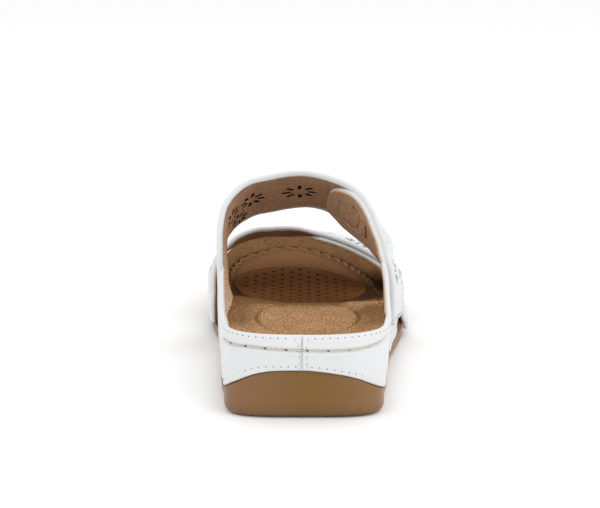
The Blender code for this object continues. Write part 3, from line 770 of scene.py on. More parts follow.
def finishes(tint):
    """The sandal's materials: maker, then its values, mostly from the colours in the panel."""
    return {
        "white_leather": (leather_material, tint.leather),
        "strap_lining": (nap_material, tint.lining, tint.lining_dark, 1250.0, 0.95, 0.0003),
        # The pale lining is the strap lining made brighter: painted light on the linings of the instep tab and the
        # wings.
        "pale_lining": (nap_material, dim(tint.lining, 1.22), tint.lining, 1250.0, 0.95, 0.0003),
        # Bed suede's tone colours: the side suede, partly painted shade, the smooth panel, and the panel dimmed to
        # painted shade.
        "bed_suede": (nap_material, tint.heel_suede, tint.heel_suede_dark, 1350.0, 1.0, 0.0004, (1.0, 0.4, 1.0),
                      (tint.side_suede, tint.panel, dim(tint.panel, 0.3))),
        "ball_pad": (nap_material, tint.pad, dim(tint.pad, 0.6), 1250.0, 0.5, 0.0002, (1.0, 0.45, 1.0)),
        # The rim suede's tone colour is the rim dimmed to painted shade along its seam and on its lateral side.
        "rim_suede": (nap_material, tint.rim, tint.rim_dark, 1100.0, 1.0, 0.0004, (1, 1, 1),
                      (dim(tint.rim, 0.22),), 1.0),
        "gum_rubber": (rubber_material, tint.rubber, tint.rubber_middle_shade),
        "white_thread": (thread_material, (0.7, 0.7, 0.69)),
        "cream_thread": (thread_material, tint.thread),
        "tan_thread": (thread_material, (0.31, 0.175, 0.09)),
        "dark_thread": (thread_material, (0.2, 0.11, 0.055)),
        # dark_edge colours the walls of cut holes and the discs of needle and pin holes: painted shade inside the
        # holes.
        "dark_edge": (plain_material, (0.022, 0.01, 0.005)),
        # needle_hole is the grey of painted shade in the fine needle holes.
        "needle_hole": (plain_material, (0.16, 0.15, 0.14)),
    }


def finish(name):
    """One of the sandal's materials."""
    def make():
        maker, *values = finishes(bpy.context.scene.sandal_colours)[name]
        return maker(name, *values)
    return kept("finish " + name, make)


def geometry_group(name, **inputs):
    """Empty geometry group with one geometry in and out."""
    given = {"Geometry": ("Geometry", None), **{key.replace("_", " "): value for key, value in inputs.items()}}
    return new_group(name, "GeometryNodeTree", given, {"Geometry": "Geometry"})


def direction(tree, name):
    """A direction that the points carry."""
    return add(tree, "GeometryNodeInputNamedAttribute", {"Name": name}, data_type="FLOAT_VECTOR").outputs["Attribute"]


def moved_out(tree, geometry, distance):
    offset = add(tree, "ShaderNodeVectorMath", {0: direction(tree, "out"), "Scale": distance}, operation="SCALE")
    return add(tree, "GeometryNodeSetPosition", {"Geometry": geometry, "Offset": offset.outputs[0]}).outputs[0]


def smoothed(tree, geometry):
    return add(tree, "GeometryNodeSetShadeSmooth", {"Geometry": geometry}).outputs[0]


def real_with(tree, geometry, material):
    real = add(tree, "GeometryNodeRealizeInstances", {"Geometry": geometry}).outputs[0]
    return add(tree, "GeometryNodeSetMaterial", {"Geometry": real, "Material": material}).outputs[0]


def scattered(tree, points, shape, along, size, material):
    """A shape of a size at every point, with Z out of the surface and X along a direction."""
    upright = add(tree, "FunctionNodeAlignRotationToVector", {"Vector": direction(tree, "out")}, axis="Z")
    turned = add(tree, "FunctionNodeAlignRotationToVector", {"Rotation": upright.outputs["Rotation"], "Vector": along},
                 axis="X", pivot_axis="Z")
    scale = add(tree, "ShaderNodeCombineXYZ", dict(zip("XYZ", size))).outputs[0]
    placed = add(tree, "GeometryNodeInstanceOnPoints", {
        "Points": points, "Instance": shape, "Rotation": turned.outputs["Rotation"], "Scale": scale}).outputs[0]
    return real_with(tree, placed, material)


def resampled(tree, curve, length):
    return add(tree, "GeometryNodeResampleCurve", {"Curve": curve, "Length": length}, mode="LENGTH").outputs[0]


@group("stitch_row")
def stitch_tree(name):
    """Row of stitches along a line, with a needle hole between each two."""
    tree, given, result = geometry_group(
        name, Pitch=("Float", 0.0028), Stitch_Length=("Float", 0.002), Stitch_Thickness=("Float", 0.0006),
        Sink=("Float", 0.0001), Hole_Radius=("Float", 0.0004), Thread=("Material", None), Hole=("Material", None))
    curve = add(tree, "GeometryNodeMeshToCurve", {"Mesh": given["Geometry"]}).outputs[0]
    shifted = add(tree, "GeometryNodeTrimCurve", {"Curve": curve}, mode="LENGTH")
    sockets = {socket.name: socket for socket in shifted.inputs if socket.enabled}
    tree.links.new(times(tree, given["Pitch"], 0.5), sockets["Start"])
    sockets["End"].default_value = 10.0
    tangent = add(tree, "GeometryNodeInputTangent").outputs[0]
    across, deep = times(tree, given["Hole Radius"], 2.0), times(tree, given["Hole Radius"], 0.5)
    thick = given["Stitch Thickness"]
    joined = add(tree, "GeometryNodeJoinGeometry")
    # Each hole is a flat disc in the Hole material, mostly a dark one: painted shade in the needle hole.
    for line, rings, lift, size, material in (
            (curve, 6, times(tree, given["Sink"], -1.0), (given["Stitch Length"], thick, thick), given["Thread"]),
            (shifted.outputs[0], 4, 0.0, (across, across, deep), given["Hole"])):
        points = moved_out(tree, resampled(tree, line, given["Pitch"]), lift)
        ball = add(tree, "GeometryNodeMeshUVSphere", {"Segments": 8, "Rings": rings, "Radius": 0.5}).outputs["Mesh"]
        tree.links.new(scattered(tree, points, smoothed(tree, ball), tangent, size, material), joined.inputs[0])
    tree.links.new(joined.outputs[0], result["Geometry"])
    return tree


@group("sewn_thread")
def thread_tree(name):
    """Thick thread along a line, pulled in at each stitch."""
    tree, given, result = geometry_group(
        name, Pitch=("Float", 0.0086), Radius=("Float", 0.0005), Dip=("Float", 0.0008), Thread=("Material", None))
    curve = add(tree, "GeometryNodeMeshToCurve", {"Mesh": given["Geometry"]}).outputs[0]
    curve = resampled(tree, curve, 0.0005)
    reached = add(tree, "GeometryNodeSplineParameter").outputs["Length"]
    wave = maths(tree, "COSINE", times(tree, maths(tree, "DIVIDE", reached, given["Pitch"]), math.tau))
    pull = maths(tree, "POWER", maths(tree, "MULTIPLY_ADD", wave, 0.5, 0.5), 5.0)
    curve = moved_out(tree, curve, times(tree, times(tree, pull, given["Dip"]), -1.0))
    ring = add(tree, "GeometryNodeCurvePrimitiveCircle", {"Resolution": 8, "Radius": given["Radius"]}).outputs["Curve"]
    tube = add(tree, "GeometryNodeCurveToMesh", {"Curve": curve, "Profile Curve": ring, "Fill Caps": True}).outputs[0]
    tree.links.new(real_with(tree, smoothed(tree, tube), given["Thread"]), result["Geometry"])
    return tree


@group("cut_outs")
def cut_tree(name):
    """Cuts a round-ended hole out of a sheet at every point of another object."""
    tree, given, result = geometry_group(
        name, Points=("Object", None), Length=("Float", 0.0045), Width=("Float", 0.002), Depth=("Float", 0.008),
        Sides=("Int", 14), Edge=("Material", None))
    points = add(tree, "GeometryNodeObjectInfo", {"Object": given["Points"]}).outputs["Geometry"]
    punch = add(tree, "GeometryNodeMeshCylinder", {
        "Vertices": given["Sides"], "Radius": 0.5, "Depth": 1.0}).outputs["Mesh"]
    size = (given["Length"], given["Width"], given["Depth"])
    cut = add(tree, "GeometryNodeMeshBoolean", {"Self Intersection": True}, operation="DIFFERENCE", solver="EXACT")
    tree.links.new(given["Geometry"], cut.inputs[0])
    tree.links.new(scattered(tree, points, punch, direction(tree, "along"), size, given["Edge"]), cut.inputs[1])
    tree.links.new(cut.outputs[0], result["Geometry"])
    return tree


@group("tread_lugs")
def lug_tree(name):
    """Tread lug at every point."""
    tree, given, result = geometry_group(
        name, Length=("Float", 0.009), Width=("Float", 0.003), Height=("Float", 0.0014), Rubber=("Material", None))
    lug = add(tree, "GeometryNodeMeshCone", {
        "Vertices": 12, "Radius Top": 0.42, "Radius Bottom": 0.5, "Depth": 1.0}).outputs["Mesh"]
    size = (given["Length"], given["Width"], given["Height"])
    lugs = scattered(tree, given["Geometry"], lug, direction(tree, "along"), size, given["Rubber"])
    tree.links.new(lugs, result["Geometry"])
    return tree


@group("pin_holes")
def pin_tree(name):
    """Small pin holes at points."""
    tree, given, result = geometry_group(name, Radius=("Float", 0.0004), Hole=("Material", None))
    ball = add(tree, "GeometryNodeMeshUVSphere", {
        "Segments": 10, "Rings": 4, "Radius": given["Radius"]}).outputs["Mesh"]
    level = add(tree, "FunctionNodeInputVector", vector=(1.0, 0.0, 0.0)).outputs[0]
    holes = scattered(tree, given["Geometry"], ball, level, (1.0, 1.0, 0.35), given["Hole"])
    tree.links.new(holes, result["Geometry"])
    return tree


def guide(name, points, out, along=None, closed=False, joined=True):
    """Points, or a line through them, that carry the directions out and along."""
    mesh = bmesh.new()
    carried = {"out": out} if along is None else {"out": out, "along": along}
    layers = {key: mesh.verts.layers.float_vector.new(key) for key in carried}
    verts = [mesh.verts.new(p) for p in to_frame(points)]
    for key, values in carried.items():
        for vert, value in zip(verts, values):
            vert[layers[key]] = Vector(value)
    if joined:
        for a, b in zip(verts, verts[1:] + (verts[:1] if closed else [])):
            mesh.edges.new((a, b))
    return linked(name, mesh_data(name, mesh))


def through(source, tree, name=None, **values):
    """Runs a geometry tree on an object and leaves its result as a plain mesh object."""
    name = name or source.name
    modifier = source.modifiers.new(tree.name, "NODES")
    modifier.node_group = tree
    for item in tree.interface.items_tree:
        if item.in_out == "INPUT" and item.name.replace(" ", "_") in values:
            modifier[item.identifier] = values[item.name.replace(" ", "_")]
    depsgraph = bpy.context.evaluated_depsgraph_get()
    data = bpy.data.meshes.new_from_object(source.evaluated_get(depsgraph), depsgraph=depsgraph)
    old = source.data
    source.name = name + "_source"
    bpy.data.objects.remove(source)
    bpy.data.meshes.remove(old)
    data.name = name
    if len(data.polygons) == 0:
        raise RuntimeError(f"{name} came out empty")
    return linked(name, data)


def coat(piece, material):
    """Puts a material in a piece's first slot."""
    if len(piece.data.materials) == 0:
        piece.data.materials.append(None)
    piece.data.materials[0] = finish(material)


def settle(piece, material, slot, *nodes):
    """Gives a finished piece its material, its body, its record slot and the nodes it stands for."""
    if material:
        coat(piece, material)
    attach(piece, "root")
    if nodes:
        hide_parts(*nodes)


def cut_out(piece, material, marks, length, width, depth, sides):
    """Cuts a hole out of a coated piece at each of the marks, which are then removed."""
    coat(piece, material)
    made = through(piece, cut_tree(), Points=marks, Length=length, Width=width, Depth=depth, Sides=sides,
                   Edge=finish("dark_edge"))
    bpy.data.objects.remove(marks)
    return made


def stitches(name, points, out, thread="white_thread", hole="needle_hole", closed=False, slot="white_leather",
             **sizes):
    """Stitch row as a finished piece."""
    size = bpy.context.scene.sandal_sizes
    values = {"Pitch": size.stitch_pitch, "Stitch_Length": size.stitch_pitch * 0.72,
              "Stitch_Thickness": size.stitch_thickness, "Sink": size.stitch_thickness * 0.42,
              "Hole_Radius": size.needle_hole, **sizes}
    row = guide(name, points, out, closed=closed)
    settle(through(row, stitch_tree(), Thread=finish(thread), Hole=finish(hole), **values), None, slot)


# Where the leatherwork's lines run

# Line of the heavy seam under the top edge: signed place round the heel, how far below the edge
GROOVE = [
    (-0.25, 2.4), (-0.15, 3.0), (-0.09, 4.5), (-0.06, 5.0), (-0.0475, 5.1), (-0.0375, 4.85), (-0.0225, 5.2),
    (-0.0025, 5.65), (0.0275, 5.95), (0.0375, 5.7), (0.05, 4.9), (0.0625, 3.1), (0.075, 2.6), (0.25, 2.4),
]
GROOVE_WAYS = np.linspace(-0.25, 0.25, 201)
# Stitch lines beside the back seam: height, left x, right x
BACK_STITCHES = [(19.0, -1.2, 1.6), (28.8, -1.3, 1.6), (30.6, -1.6, 1.7), (32.0, -2.3, 2.0), (33.6, -3.4, 2.4)]
BACK_SEAM = -0.3
TOP_ROW = 0.6                        # the top stitch row lies this far under the top edge
# Outline of the padded ball pad, anticlockwise from its lateral side
PAD = [
    (31.5, 166), (26.7, 181.1), (16.2, 195.6), (4.7, 204.9), (-9.5, 207.2), (-19.4, 203.7), (-28.7, 196.5),
    (-34.0, 186.0), (-36.0, 172.0), (-33.5, 157.0), (-29.0, 143.0), (-22.0, 130.0), (-10.0, 123.0), (4.0, 123.0),
    (17.0, 129.5), (25.5, 140.4), (28.9, 147.6), (31.0, 156.0),
]
PAD_CENTRE = (-2.0, 165.0)
PAD_SEAM = 2.4                       # the pad's stitches lie this far inside its outline
PAD_MARGIN = 4.6                     # and its holes stop this far inside
HEEL_PAD = (1.5, 51.0, 22.3, 30.0)   # centre and half sizes of the pressed oval under the heel
SEAM_PITCH = 7.8                     # gathers of the toe seam
# Flowers: place along the strap, share across it
INSTEP_FLOWERS = [(100.2, 0.5), (79.0, 0.48), (62.0, 0.44), (67.5, 0.8), (126.0, 0.5), (150.0, 0.5), (169.0, 0.5)]
LINING_FLOWERS = 4                   # the first of them are cut through the lining too
TOE_FLOWERS = [(113.5, 0.31), (93.0, 0.52), (70.0, 0.5), (47.0, 0.5), (27.0, 0.5), (136.0, 0.5)]
LINING = 0.45                        # thickness of the straps' lining
LINED = {"instep_strap": 124.0, "toe_strap": 100.0}   # place where the lining stops under the lap
PATCH_STITCHES = (119.5, 134.0, 0.27, 0.73)           # the patch's stitch row: places, then shares across
TAB_PINS = [(140.0, 0.35), (140.6, 0.45), (141.2, 0.55), (141.8, 0.65)]   # place, share across
TOE_HANG = 6.5                       # the toe strap's free end hangs this far past its tab's seat
# Rings of the sole's tread field and of the flat border round it: share of the way out, height
TREAD = [(0.0, 1.2), (0.3, 1.2), (0.6, 1.2), (0.85, 1.2), (0.86, 1.2), (0.862, 0.0), (0.88, 0.0)]
TREAD_PITCH = (9.0, 6.2)             # between the lugs, across and along
LUG = (0.0082, 0.0034, 0.0014)       # length, width and height of a lug, in metres
# The ledge's rounded lip and its flat: out from the outline, drop
LEDGE_LIP = [(0.1, 0.35), (0.0, 0.12), (-0.3, 0.0), (-0.9, 0.0)]

STATIONS = np.arange(-2.0, 260.0, 0.5)
BED_LOW = np.array([blend(HEIGHT, 3, y) for y in STATIONS])
RIM_HIGH = np.array([rim(y) for y in STATIONS])


def ease(low, high, at):
    t = np.clip((np.asarray(at, float) - low) / (high - low), 0, 1)
    return t * t * (3 - 2 * t)


def travelled(points):
    """Distance along a line up to each of its points."""
    return np.concatenate([[0], np.cumsum(np.linalg.norm(np.diff(points, axis=0), axis=1))])


def instep():
    return kept("instep", lambda: Band(INSTEP))


def toe():
    return kept("toe", lambda: Band(TOE))


def wrap():
    """The heel wrap's inner face: signed place round the heel, share of the height."""
    def point(turn, share):
        foot, head = crest(turn % 1.0) + GAP, wrap_head(turn)
        return wrap_point(turn, foot + (head - foot) * share)

    def make():
        first, last = turn_at(WRAP_END[-1], -1) - 1, turn_at(WRAP_END[1], 1)
        made = Surface(point, np.linspace(first, last, 300), np.linspace(0, 1, 33), (0, 70, 25))
        made.levels = np.array([(crest(t % 1.0) + GAP, wrap_head(t), rim(loop_place(t)[0])) for t in made.us]).T
        arc = travelled(made.points[:, 16])
        made.arc = arc - np.interp(0.0, made.us, arc)
        return made
    return kept("wrap", make)


def turn_on(arc):
    """Place round the heel for an arc length from its back."""
    return np.interp(arc, wrap().arc, wrap().us)


def levels(turn):
    """Heights of the wrap's foot, of its top line and of the sandal's top edge."""
    return [np.interp(turn, wrap().us, row) for row in wrap().levels]


def on_wrap(arc, z, lift):
    """Points and normals on the wrap for an arc length from the heel's back and a height."""
    turn = turn_on(arc)
    foot, head, _ = levels(turn)
    share = (z - foot) / (head - foot)
    return wrap().at(turn, share, np.broadcast_to(lift, np.shape(share))), wrap().normal(turn, share)


def groove_line(turn):
    """How far the heavy seam lies under the top edge."""
    return np.interp(turn, GROOVE_WAYS, [blend(GROOVE, 1, t) for t in GROOVE_WAYS])


def foot_seam(arc, foot):
    """Height of the stitch row along the wrap's foot."""
    return foot + 1.9 + 0.9 * ease(8, 24, -np.asarray(arc))


def wrap_relief(arc, z):
    """Seams, pinched stitches and padding on the wrap's outer face."""
    size = bpy.context.scene.sandal_sizes
    turn = turn_on(arc)
    foot, head, top_edge = levels(turn)
    seam = top_edge - groove_line(turn)
    pinch = np.clip(np.cos(math.tau * arc / (size.heavy_pitch / MM)), 0, 1) ** 3
    off = z - seam
    heel_end = 1 - ease(60, 80, np.abs(arc))
    # The heavy seam's groove, deepest at each stitch, and the leather that stands up beside it
    relief = -size.groove_depth / MM * (0.8 + 0.45 * pinch) * bell(off, 0.7 - 0.15 * pinch)
    relief = relief + 0.34 * bell(np.abs(off) - 1.6, 0.8) * (1 - 0.6 * pinch)
    # Padding over the seam, and the stitch rows pressed in along the top and the foot
    relief = relief + 0.45 * np.sin(math.pi * np.clip((z - seam) / (head - seam), 0, 1)) * heel_end
    relief = relief - 0.2 * bell(z - (top_edge - TOP_ROW), 0.5) * heel_end
    relief = relief - 0.14 * bell(z - foot_seam(arc, foot), 0.5)
    # The back seam with its two lips, and the stitch rows beside it
    heights, left, right = np.array(BACK_STITCHES).T
    for column in (left, right):
        relief = relief - 0.24 * bell(arc - np.interp(z, heights, column), 0.4)
    away = arc - BACK_SEAM
    relief = relief - 0.85 * bell(away, 0.3) + 0.42 * bell(away - 0.95, 0.55) + 0.26 * bell(away + 0.6, 0.35)
    # Slow waves
    return relief + 0.05 * np.sin(arc * 0.31) * np.sin(z * 0.5 + 1) + 0.04 * np.sin(arc * 0.13 + 2)


def on_leather(arc, z):
    """Points and normals on the wrap's finished outer face."""
    return on_wrap(arc, z, LEATHER + wrap_relief(arc, z))


def bed_surface(turns, shares):
    """Grids of points and tones on the footbed; shares end at the seam or at the leather."""
    middle = np.array([bed_point(t, 0) for t in turns])[:, None]
    outer = np.array([bed_point(t, 1) for t in turns])[:, None]
    station = np.array([loop_place(t)[0] for t in turns])
    side = np.array([-1 if t > 0.5 else 1 for t in turns])[:, None]
    rimmed = np.array([beside_rim(t) for t in turns])
    reach = np.array([seam_share(t) if b else 1.0 for t, b in zip(turns, rimmed)])
    far = np.linalg.norm(outer - middle, axis=2)[:, 0]
    scallop = scallops(travelled((middle + (outer - middle) * reach[:, None, None])[:, 0]))
    gathered = ease(RIM_END[1] + 4, RIM_END[1] + 14, station) * rimmed
    reach = reach + gathered * (0.2 + 1.5 * scallop ** 0.6) / far
    r = reach[:, None] * np.asarray(shares)[None]
    flat = middle + (outer - middle) * r[..., None]
    x, y = flat[..., 0], flat[..., 1]

    # The dish and its medial arch
    low, high = np.interp(y, STATIONS, BED_LOW), np.interp(y, STATIONS, RIM_HIGH) - LIP
    rise, arch_at, arch_width = ARCH
    arch = np.where(side < 0, rise * bell(y - arch_at, arch_width) * np.maximum(0, r - 0.25), 0)
    z = low + (high - low) * r ** DISH_POWER + arch * (1 - r ** 6)

    # The cover, pulled in along the scalloped seam
    from_seam = (reach[:, None] - r) * far[:, None]
    plump = (gathered * (0.35 + 0.65 * scallop))[:, None]
    z = z + plump * (1.3 * bell(from_seam - 1.5, 1.6) - 0.3 * bell(from_seam - 4.8, 1.3))
    z = z - 0.35 * bell(from_seam - 2.4, 0.8) * (1 - rimmed[:, None]) * ease(0.6, 0.9, r)

    # The pressed oval under the heel
    cx, cy, a, b = HEEL_PAD
    oval = np.hypot((x - cx) / a, (y - cy) / b)
    from_oval = (oval - 1) * 25
    sides = 0.45 + 0.55 * bell(y - 52, 16)
    z = z + 0.3 * (1 - ease(0.55, 1.0, oval)) - 0.95 * sides * bell(from_oval, 0.8)
    z = z + 0.3 * bell(np.abs(from_oval) - 1.9, 1.1)

    # A wrinkle on the lateral side and a fainter one on the medial side
    off_lateral, off_medial = (x - 18.0) * 0.46 + (y - 73.4), (x + 24.0) * -0.5 + (y - 66.0)
    wrinkle = bell(off_lateral, 2.7) * ease(14, 22, x)
    z = z + 2.1 * wrinkle + 0.35 * bell(off_medial, 2.2) * ease(22, 29, -x)

    # Tones: 0 the heel's suede, 1 the darker sides, partly painted shade, 2 the smooth panel, 3 painted shade on the
    # panel's sides along its middle stretch
    forward = ease(66, 92, y)
    # Darker up the sides: partly the suede's own tone, partly painted shade; the band along the oval's groove is
    # painted shade.
    side_and_shade_tone = 0.95 * ease(17, 29, np.abs(x - 0.5)) * ease(14, 40, y) + 0.8 * sides * bell(from_oval, 0.9)
    # A patch of painted shade beside the lateral wrinkle.
    side_and_shade_tone = side_and_shade_tone + 0.9 * bell(np.hypot((x - 28.5) / 4.0, (y - 58.2) / 4.5), 1.0)
    # Painted shade on the lateral side, laid along the medial wrinkle's line.
    side_and_shade_tone = side_and_shade_tone + 1.1 * bell(off_medial - 6.5, 3.5) * ease(18, 28, x)
    # Painted shade in the recesses at the panel's sides.
    deep = ease(15, 31, np.abs(x + 0.06 * (y - 120))) * ease(88, 106, y) * (1 - ease(150, 180, y))
    # Along the wrinkle's crest the tone is lowered: a painted highlight.
    tone = 2 * forward * (1 - 0.5 * wrinkle) + (1 - forward) * np.clip(side_and_shade_tone - 0.9 * wrinkle, 0, 1.9) + deep
    return np.stack([x, y, z], axis=2), tone


def scallops(arc):
    """0 at each gather of the toe seam and 1 between two."""
    return np.abs(np.sin(math.pi * arc / SEAM_PITCH))


def fine_turns(count):
    """Places round the outline, closer together round the heel's back and the toe's tip."""
    k = np.arange(count) / count
    return list(k - 0.10 * np.sin(4 * math.pi * k) / (2 * math.pi))


def drop(x, y):
    """Height and normal of the footbed under points in millimetres."""
    height, out = [], []
    for px, py in zip(np.ravel(x), np.ravel(y)):
        start = Vector(((px + SHIFT[0]) * MM, (py + SHIFT[1]) * MM, 0.2))
        hit, normal, _, _ = KEPT["bed_tree"].ray_cast(start, Vector((0, 0, -1)))
        height.append(hit.z / MM if hit else 20.0)
        out.append(normal if hit else Vector((0, 0, 1)))
    return np.reshape(height, np.shape(x)), out


def make_outsole():
    """Gum rubber sole: recessed tread field inside a flat border, rounded foot, arched top edge at the heel."""
    turns = fine_turns(420)
    stations = [loop_place(t)[0] for t in turns]
    columns = [(t, blend(HEIGHT, 1, y), crest(t)) for t, y in zip(turns, stations)]
    rings = []
    for share, lift in TREAD:
        rings.append([(x, y, blend(HEIGHT, 1, y) + lift) for x, y in (bed_point(t, share) for t in turns)])
    for degrees in range(90, -1, -15):
        a = math.radians(degrees)
        out, lift = SOLE_ROUND * (math.cos(a) - 1), SOLE_ROUND * (1 - math.sin(a))
        rings.append([(*outline(t, out), low + lift) for t, low, _ in columns])
    for share in (0.12, 0.3, 0.5, 0.7, 0.85, 0.95):
        out = 0.1 - 0.22 * math.sin(math.pi * share)
        rings.append([(*outline(t, out), (low + SOLE_ROUND) * (1 - share) + top * share) for t, low, top in columns])
    for out, lower in LEDGE_LIP:
        rings.append([(*outline(t, out), top - lower) for t, _, top in columns])
    core = []
    for t, _, top in columns:
        y, side = loop_place(t)
        down = down_at(y, top)
        core.append((*outline(t, seat_out(y, side, down) - GAP, down), top))
    rings.append(core)
    for share in (0.985, 0.75, 0.4, 0.0):
        rings.append([(x, y, bedding(y)) for x, y in (bed_point(t, share) for t in turns)])
    settle(loft("outsole_rubber", rings), "gum_rubber", "gum_rubber", "outsole")

    field = [Vector((*bed_point(t, 0.8), 0)) for t in turns]
    inside = BVHTree.FromPolygons(field, [tuple(range(len(field)))])
    points, along = [], []
    for row in range(40):
        for column in range(-5, 6):
            x = (column + 0.5 * (row % 2)) * TREAD_PITCH[0]
            y = 9.0 + row * TREAD_PITCH[1]
            if inside.ray_cast(Vector((x, y, 5)), Vector((0, 0, -1)))[0]:
                points.append((x, y, blend(HEIGHT, 1, y) + 1.42))
                along.append((1, 0.55 if (row + column) % 2 else -0.55, 0))
    marks = guide("tread", points, [(0, 0, -1)] * len(points), along, joined=False)
    length, width, height = LUG
    lugs = through(marks, lug_tree(), "tread_lugs", Length=length, Width=width, Height=height,
                   Rubber=finish("gum_rubber"))
    settle(lugs, None, "gum_rubber")


def make_footbed():
    """Suede-covered footbed with its pressed heel oval, and the perforated ball pad on it."""
    size = bpy.context.scene.sandal_sizes
    shares = np.concatenate([np.linspace(0, 0.9, 60), np.linspace(0.9, 1.0, 16)[1:]])
    top, tones = bed_surface(fine_turns(480), shares)
    edge = top[:, -1] - (0, 0, 0.5)
    under = []
    for share, drop_by in ((1.0, 1.6), (0.97, 3.0), (0.9, None), (0.5, None), (0.0, None)):
        ring = top[:, 0] + (top[:, -1] - top[:, 0]) * share
        ring[:, 2] = top[:, -1, 2] - drop_by if drop_by else [bedding(y) + BED_GAP for y in ring[:, 1]]
        under.append(ring)
    bed = loft("footbed_suede", [*top.swapaxes(0, 1), edge, *under],
               tones=[*tones.T, *[tones[:, -1]] * (1 + len(under))])
    settle(bed, "bed_suede", "tan_suede", "footbed")
    mesh = bmesh.new()
    mesh.from_mesh(bed.data)
    KEPT["bed_tree"] = BVHTree.FromBMesh(mesh)
    mesh.free()

    # The pad's outline as a radius for each bearing from its centre
    angles = np.linspace(0, math.tau, 241)[:-1]
    corners = np.array(PAD, float) - PAD_CENTRE
    bearings = np.mod(np.arctan2(corners[:, 1], corners[:, 0]), math.tau)
    pairs = sorted(zip(bearings, np.hypot(*corners.T)))
    table = [(a + turn, r) for turn in (-math.tau, 0, math.tau) for a, r in pairs]
    radius = np.array([blend(table, 1, a) for a in angles])

    def ring(depth, share=1.0):
        r = (radius - depth) * share
        return PAD_CENTRE[0] + r * np.cos(angles), PAD_CENTRE[1] + r * np.sin(angles)

    def layer(depth, share, lift):
        x, y = ring(depth, share)
        return np.stack([x, y, drop(x, y)[0] + lift], axis=1)
    depths = np.concatenate([edge_steps(1.0), [1.5, 2.0, PAD_SEAM, 2.8, 3.4, 4.2]])
    rings = [layer(d, 1.0, 1.1 * rounding(d, 1.0) - 0.3 * bell(d - PAD_SEAM, 0.55) - 0.15) for d in depths]
    rings += [layer(depths[-1], share, 0.95 + 0.35 * (1 - share ** 2)) for share in np.linspace(1.0, 0.0, 26)[1:]]
    low = [layer(0.0, share, -0.35) for share in np.linspace(0.0, 0.97, 22)]
    pad = loft("ball_pad", rings + low + rings[:1])

    holes, pitch = [], size.pad_pitch / MM
    for row in range(-9, 10):
        for column in range(-8, 9):
            away = np.array((column * pitch, (row + 0.5 * (column % 2)) * 2 * pitch))
            bearing = math.atan2(away[1], away[0]) % math.tau
            if math.hypot(*away) < np.interp(bearing, angles, radius) - PAD_MARGIN:
                holes.append(away + PAD_CENTRE)
    x, y = np.array(holes).T
    z, outs = drop(x, y)
    marks = guide("pad_holes", np.stack([x, y, z + 1.0], axis=1), outs, [(1, 0, 0)] * len(x), joined=False)
    pad = cut_out(pad, "ball_pad", marks, size.pad_hole * 2, size.pad_hole * 2, 0.0022, 10)
    settle(pad, None, "tan_suede")
    x, y = ring(PAD_SEAM)
    z, outs = drop(x, y)
    stitches("pad_stitches", np.stack([x, y, z + 0.72], axis=1), outs, "dark_thread", "dark_edge", closed=True,
             slot="tan_suede", Pitch=0.0036, Stitch_Length=0.0024, Stitch_Thickness=0.00055, Hole_Radius=0.00028)


def make_toe_rim():
    """Coarse suede rim round the toes, gathered into the seam."""
    turns = [t for t in fine_turns(560) if beside_rim(t)]
    arc = travelled(np.array([bed_point(t, seam_share(t)) for t in turns]))
    rows, tones, line = [], [], []
    for turn, gone in zip(turns, arc):
        y, side = loop_place(turn)
        seam = seam_share(turn)
        ax, ay = bed_point(turn, seam)
        bx, by = bed_point(turn, 1.0)
        width = math.hypot(bx - ax, by - ay)
        ux, uy = (bx - ax) / width, (by - ay) / width
        gather, scallop = math.cos(math.tau * gone / SEAM_PITCH), scallops(gone)
        calm = smooth(RIM_END[side] + 3, RIM_END[side] + 14, y)
        tucked = ax - ux * 1.4 * calm, ay - uy * 1.4 * calm
        head, foot = rim(y) - LIP, bedding(y) + BED_GAP
        radius = min(RIM_ROUND, 0.55 * width)
        loop, tone = [(*tucked, bed_height(ay, turn, seam) - 1.5)], [1.0]
        for step in np.linspace(0.0, 0.62, 16):
            x, flat_y = ax + (bx - ax) * step, ay + (by - ay) * step
            from_seam = step * width
            puff = 0.95 * math.sin(math.pi * min(1.0, (step + 0.04) / 0.85))
            fold = 0.55 * gather * math.exp(-from_seam / 4.5) * calm
            dip = 1.3 * calm * math.exp(-(from_seam / 1.8) ** 2)
            loop.append((x, flat_y, bed_height(flat_y, turn, seam + (1 - seam) * step) + puff + fold - dip))
            # Tone: painted shade in a line along the scalloped seam, and painted shade over the lateral side.
            lateral = 0.8 * ease(24, 40, x) * ease(0, 1, calm) * (1 - ease(185, 205, flat_y))
            tone.append(calm * math.exp(-((from_seam - 0.4 - 1.3 * scallop) / 1.1) ** 2) + lateral)
        for angle in (78, 66, 54, 42, 30, 18, 8):
            a = math.radians(angle)
            edge = outline(turn, seat_out(y, side, 0) - radius * (1 - math.cos(a)), 0.0)
            loop.append((*edge, head - radius * (1 - math.sin(a))))
        edge = outline(turn, seat_out(y, side, 0), 0.0)
        loop += [(*edge, z) for z in (head - radius - 0.4, (head - radius + foot) / 2, foot)]
        loop.append((*tucked, bedding(ay) + BED_GAP))
        rows.append(loop)
        tones.append(tone + [0.0] * (len(loop) - len(tone)))
        line.append((ax - 0.7 * ux, ay - 0.7 * uy))
    settle(loft("toe_rim_suede", rows, tones=tones, capped=True), "rim_suede", "rim_suede", "toe_rim")
    x, y = np.array(line).T
    z, outs = drop(x, y)
    first = int(np.searchsorted(arc, math.ceil(arc[10] / SEAM_PITCH) * SEAM_PITCH + SEAM_PITCH / 2))
    points = np.stack([x, y, z + 0.1], axis=1)
    stitches("toe_seam_stitches", points[first:-10], outs[first:-10], "tan_thread", "rim_suede", slot="tan_suede",
             Pitch=SEAM_PITCH * MM, Stitch_Length=0.0046, Stitch_Thickness=0.00062, Hole_Radius=0.0004)


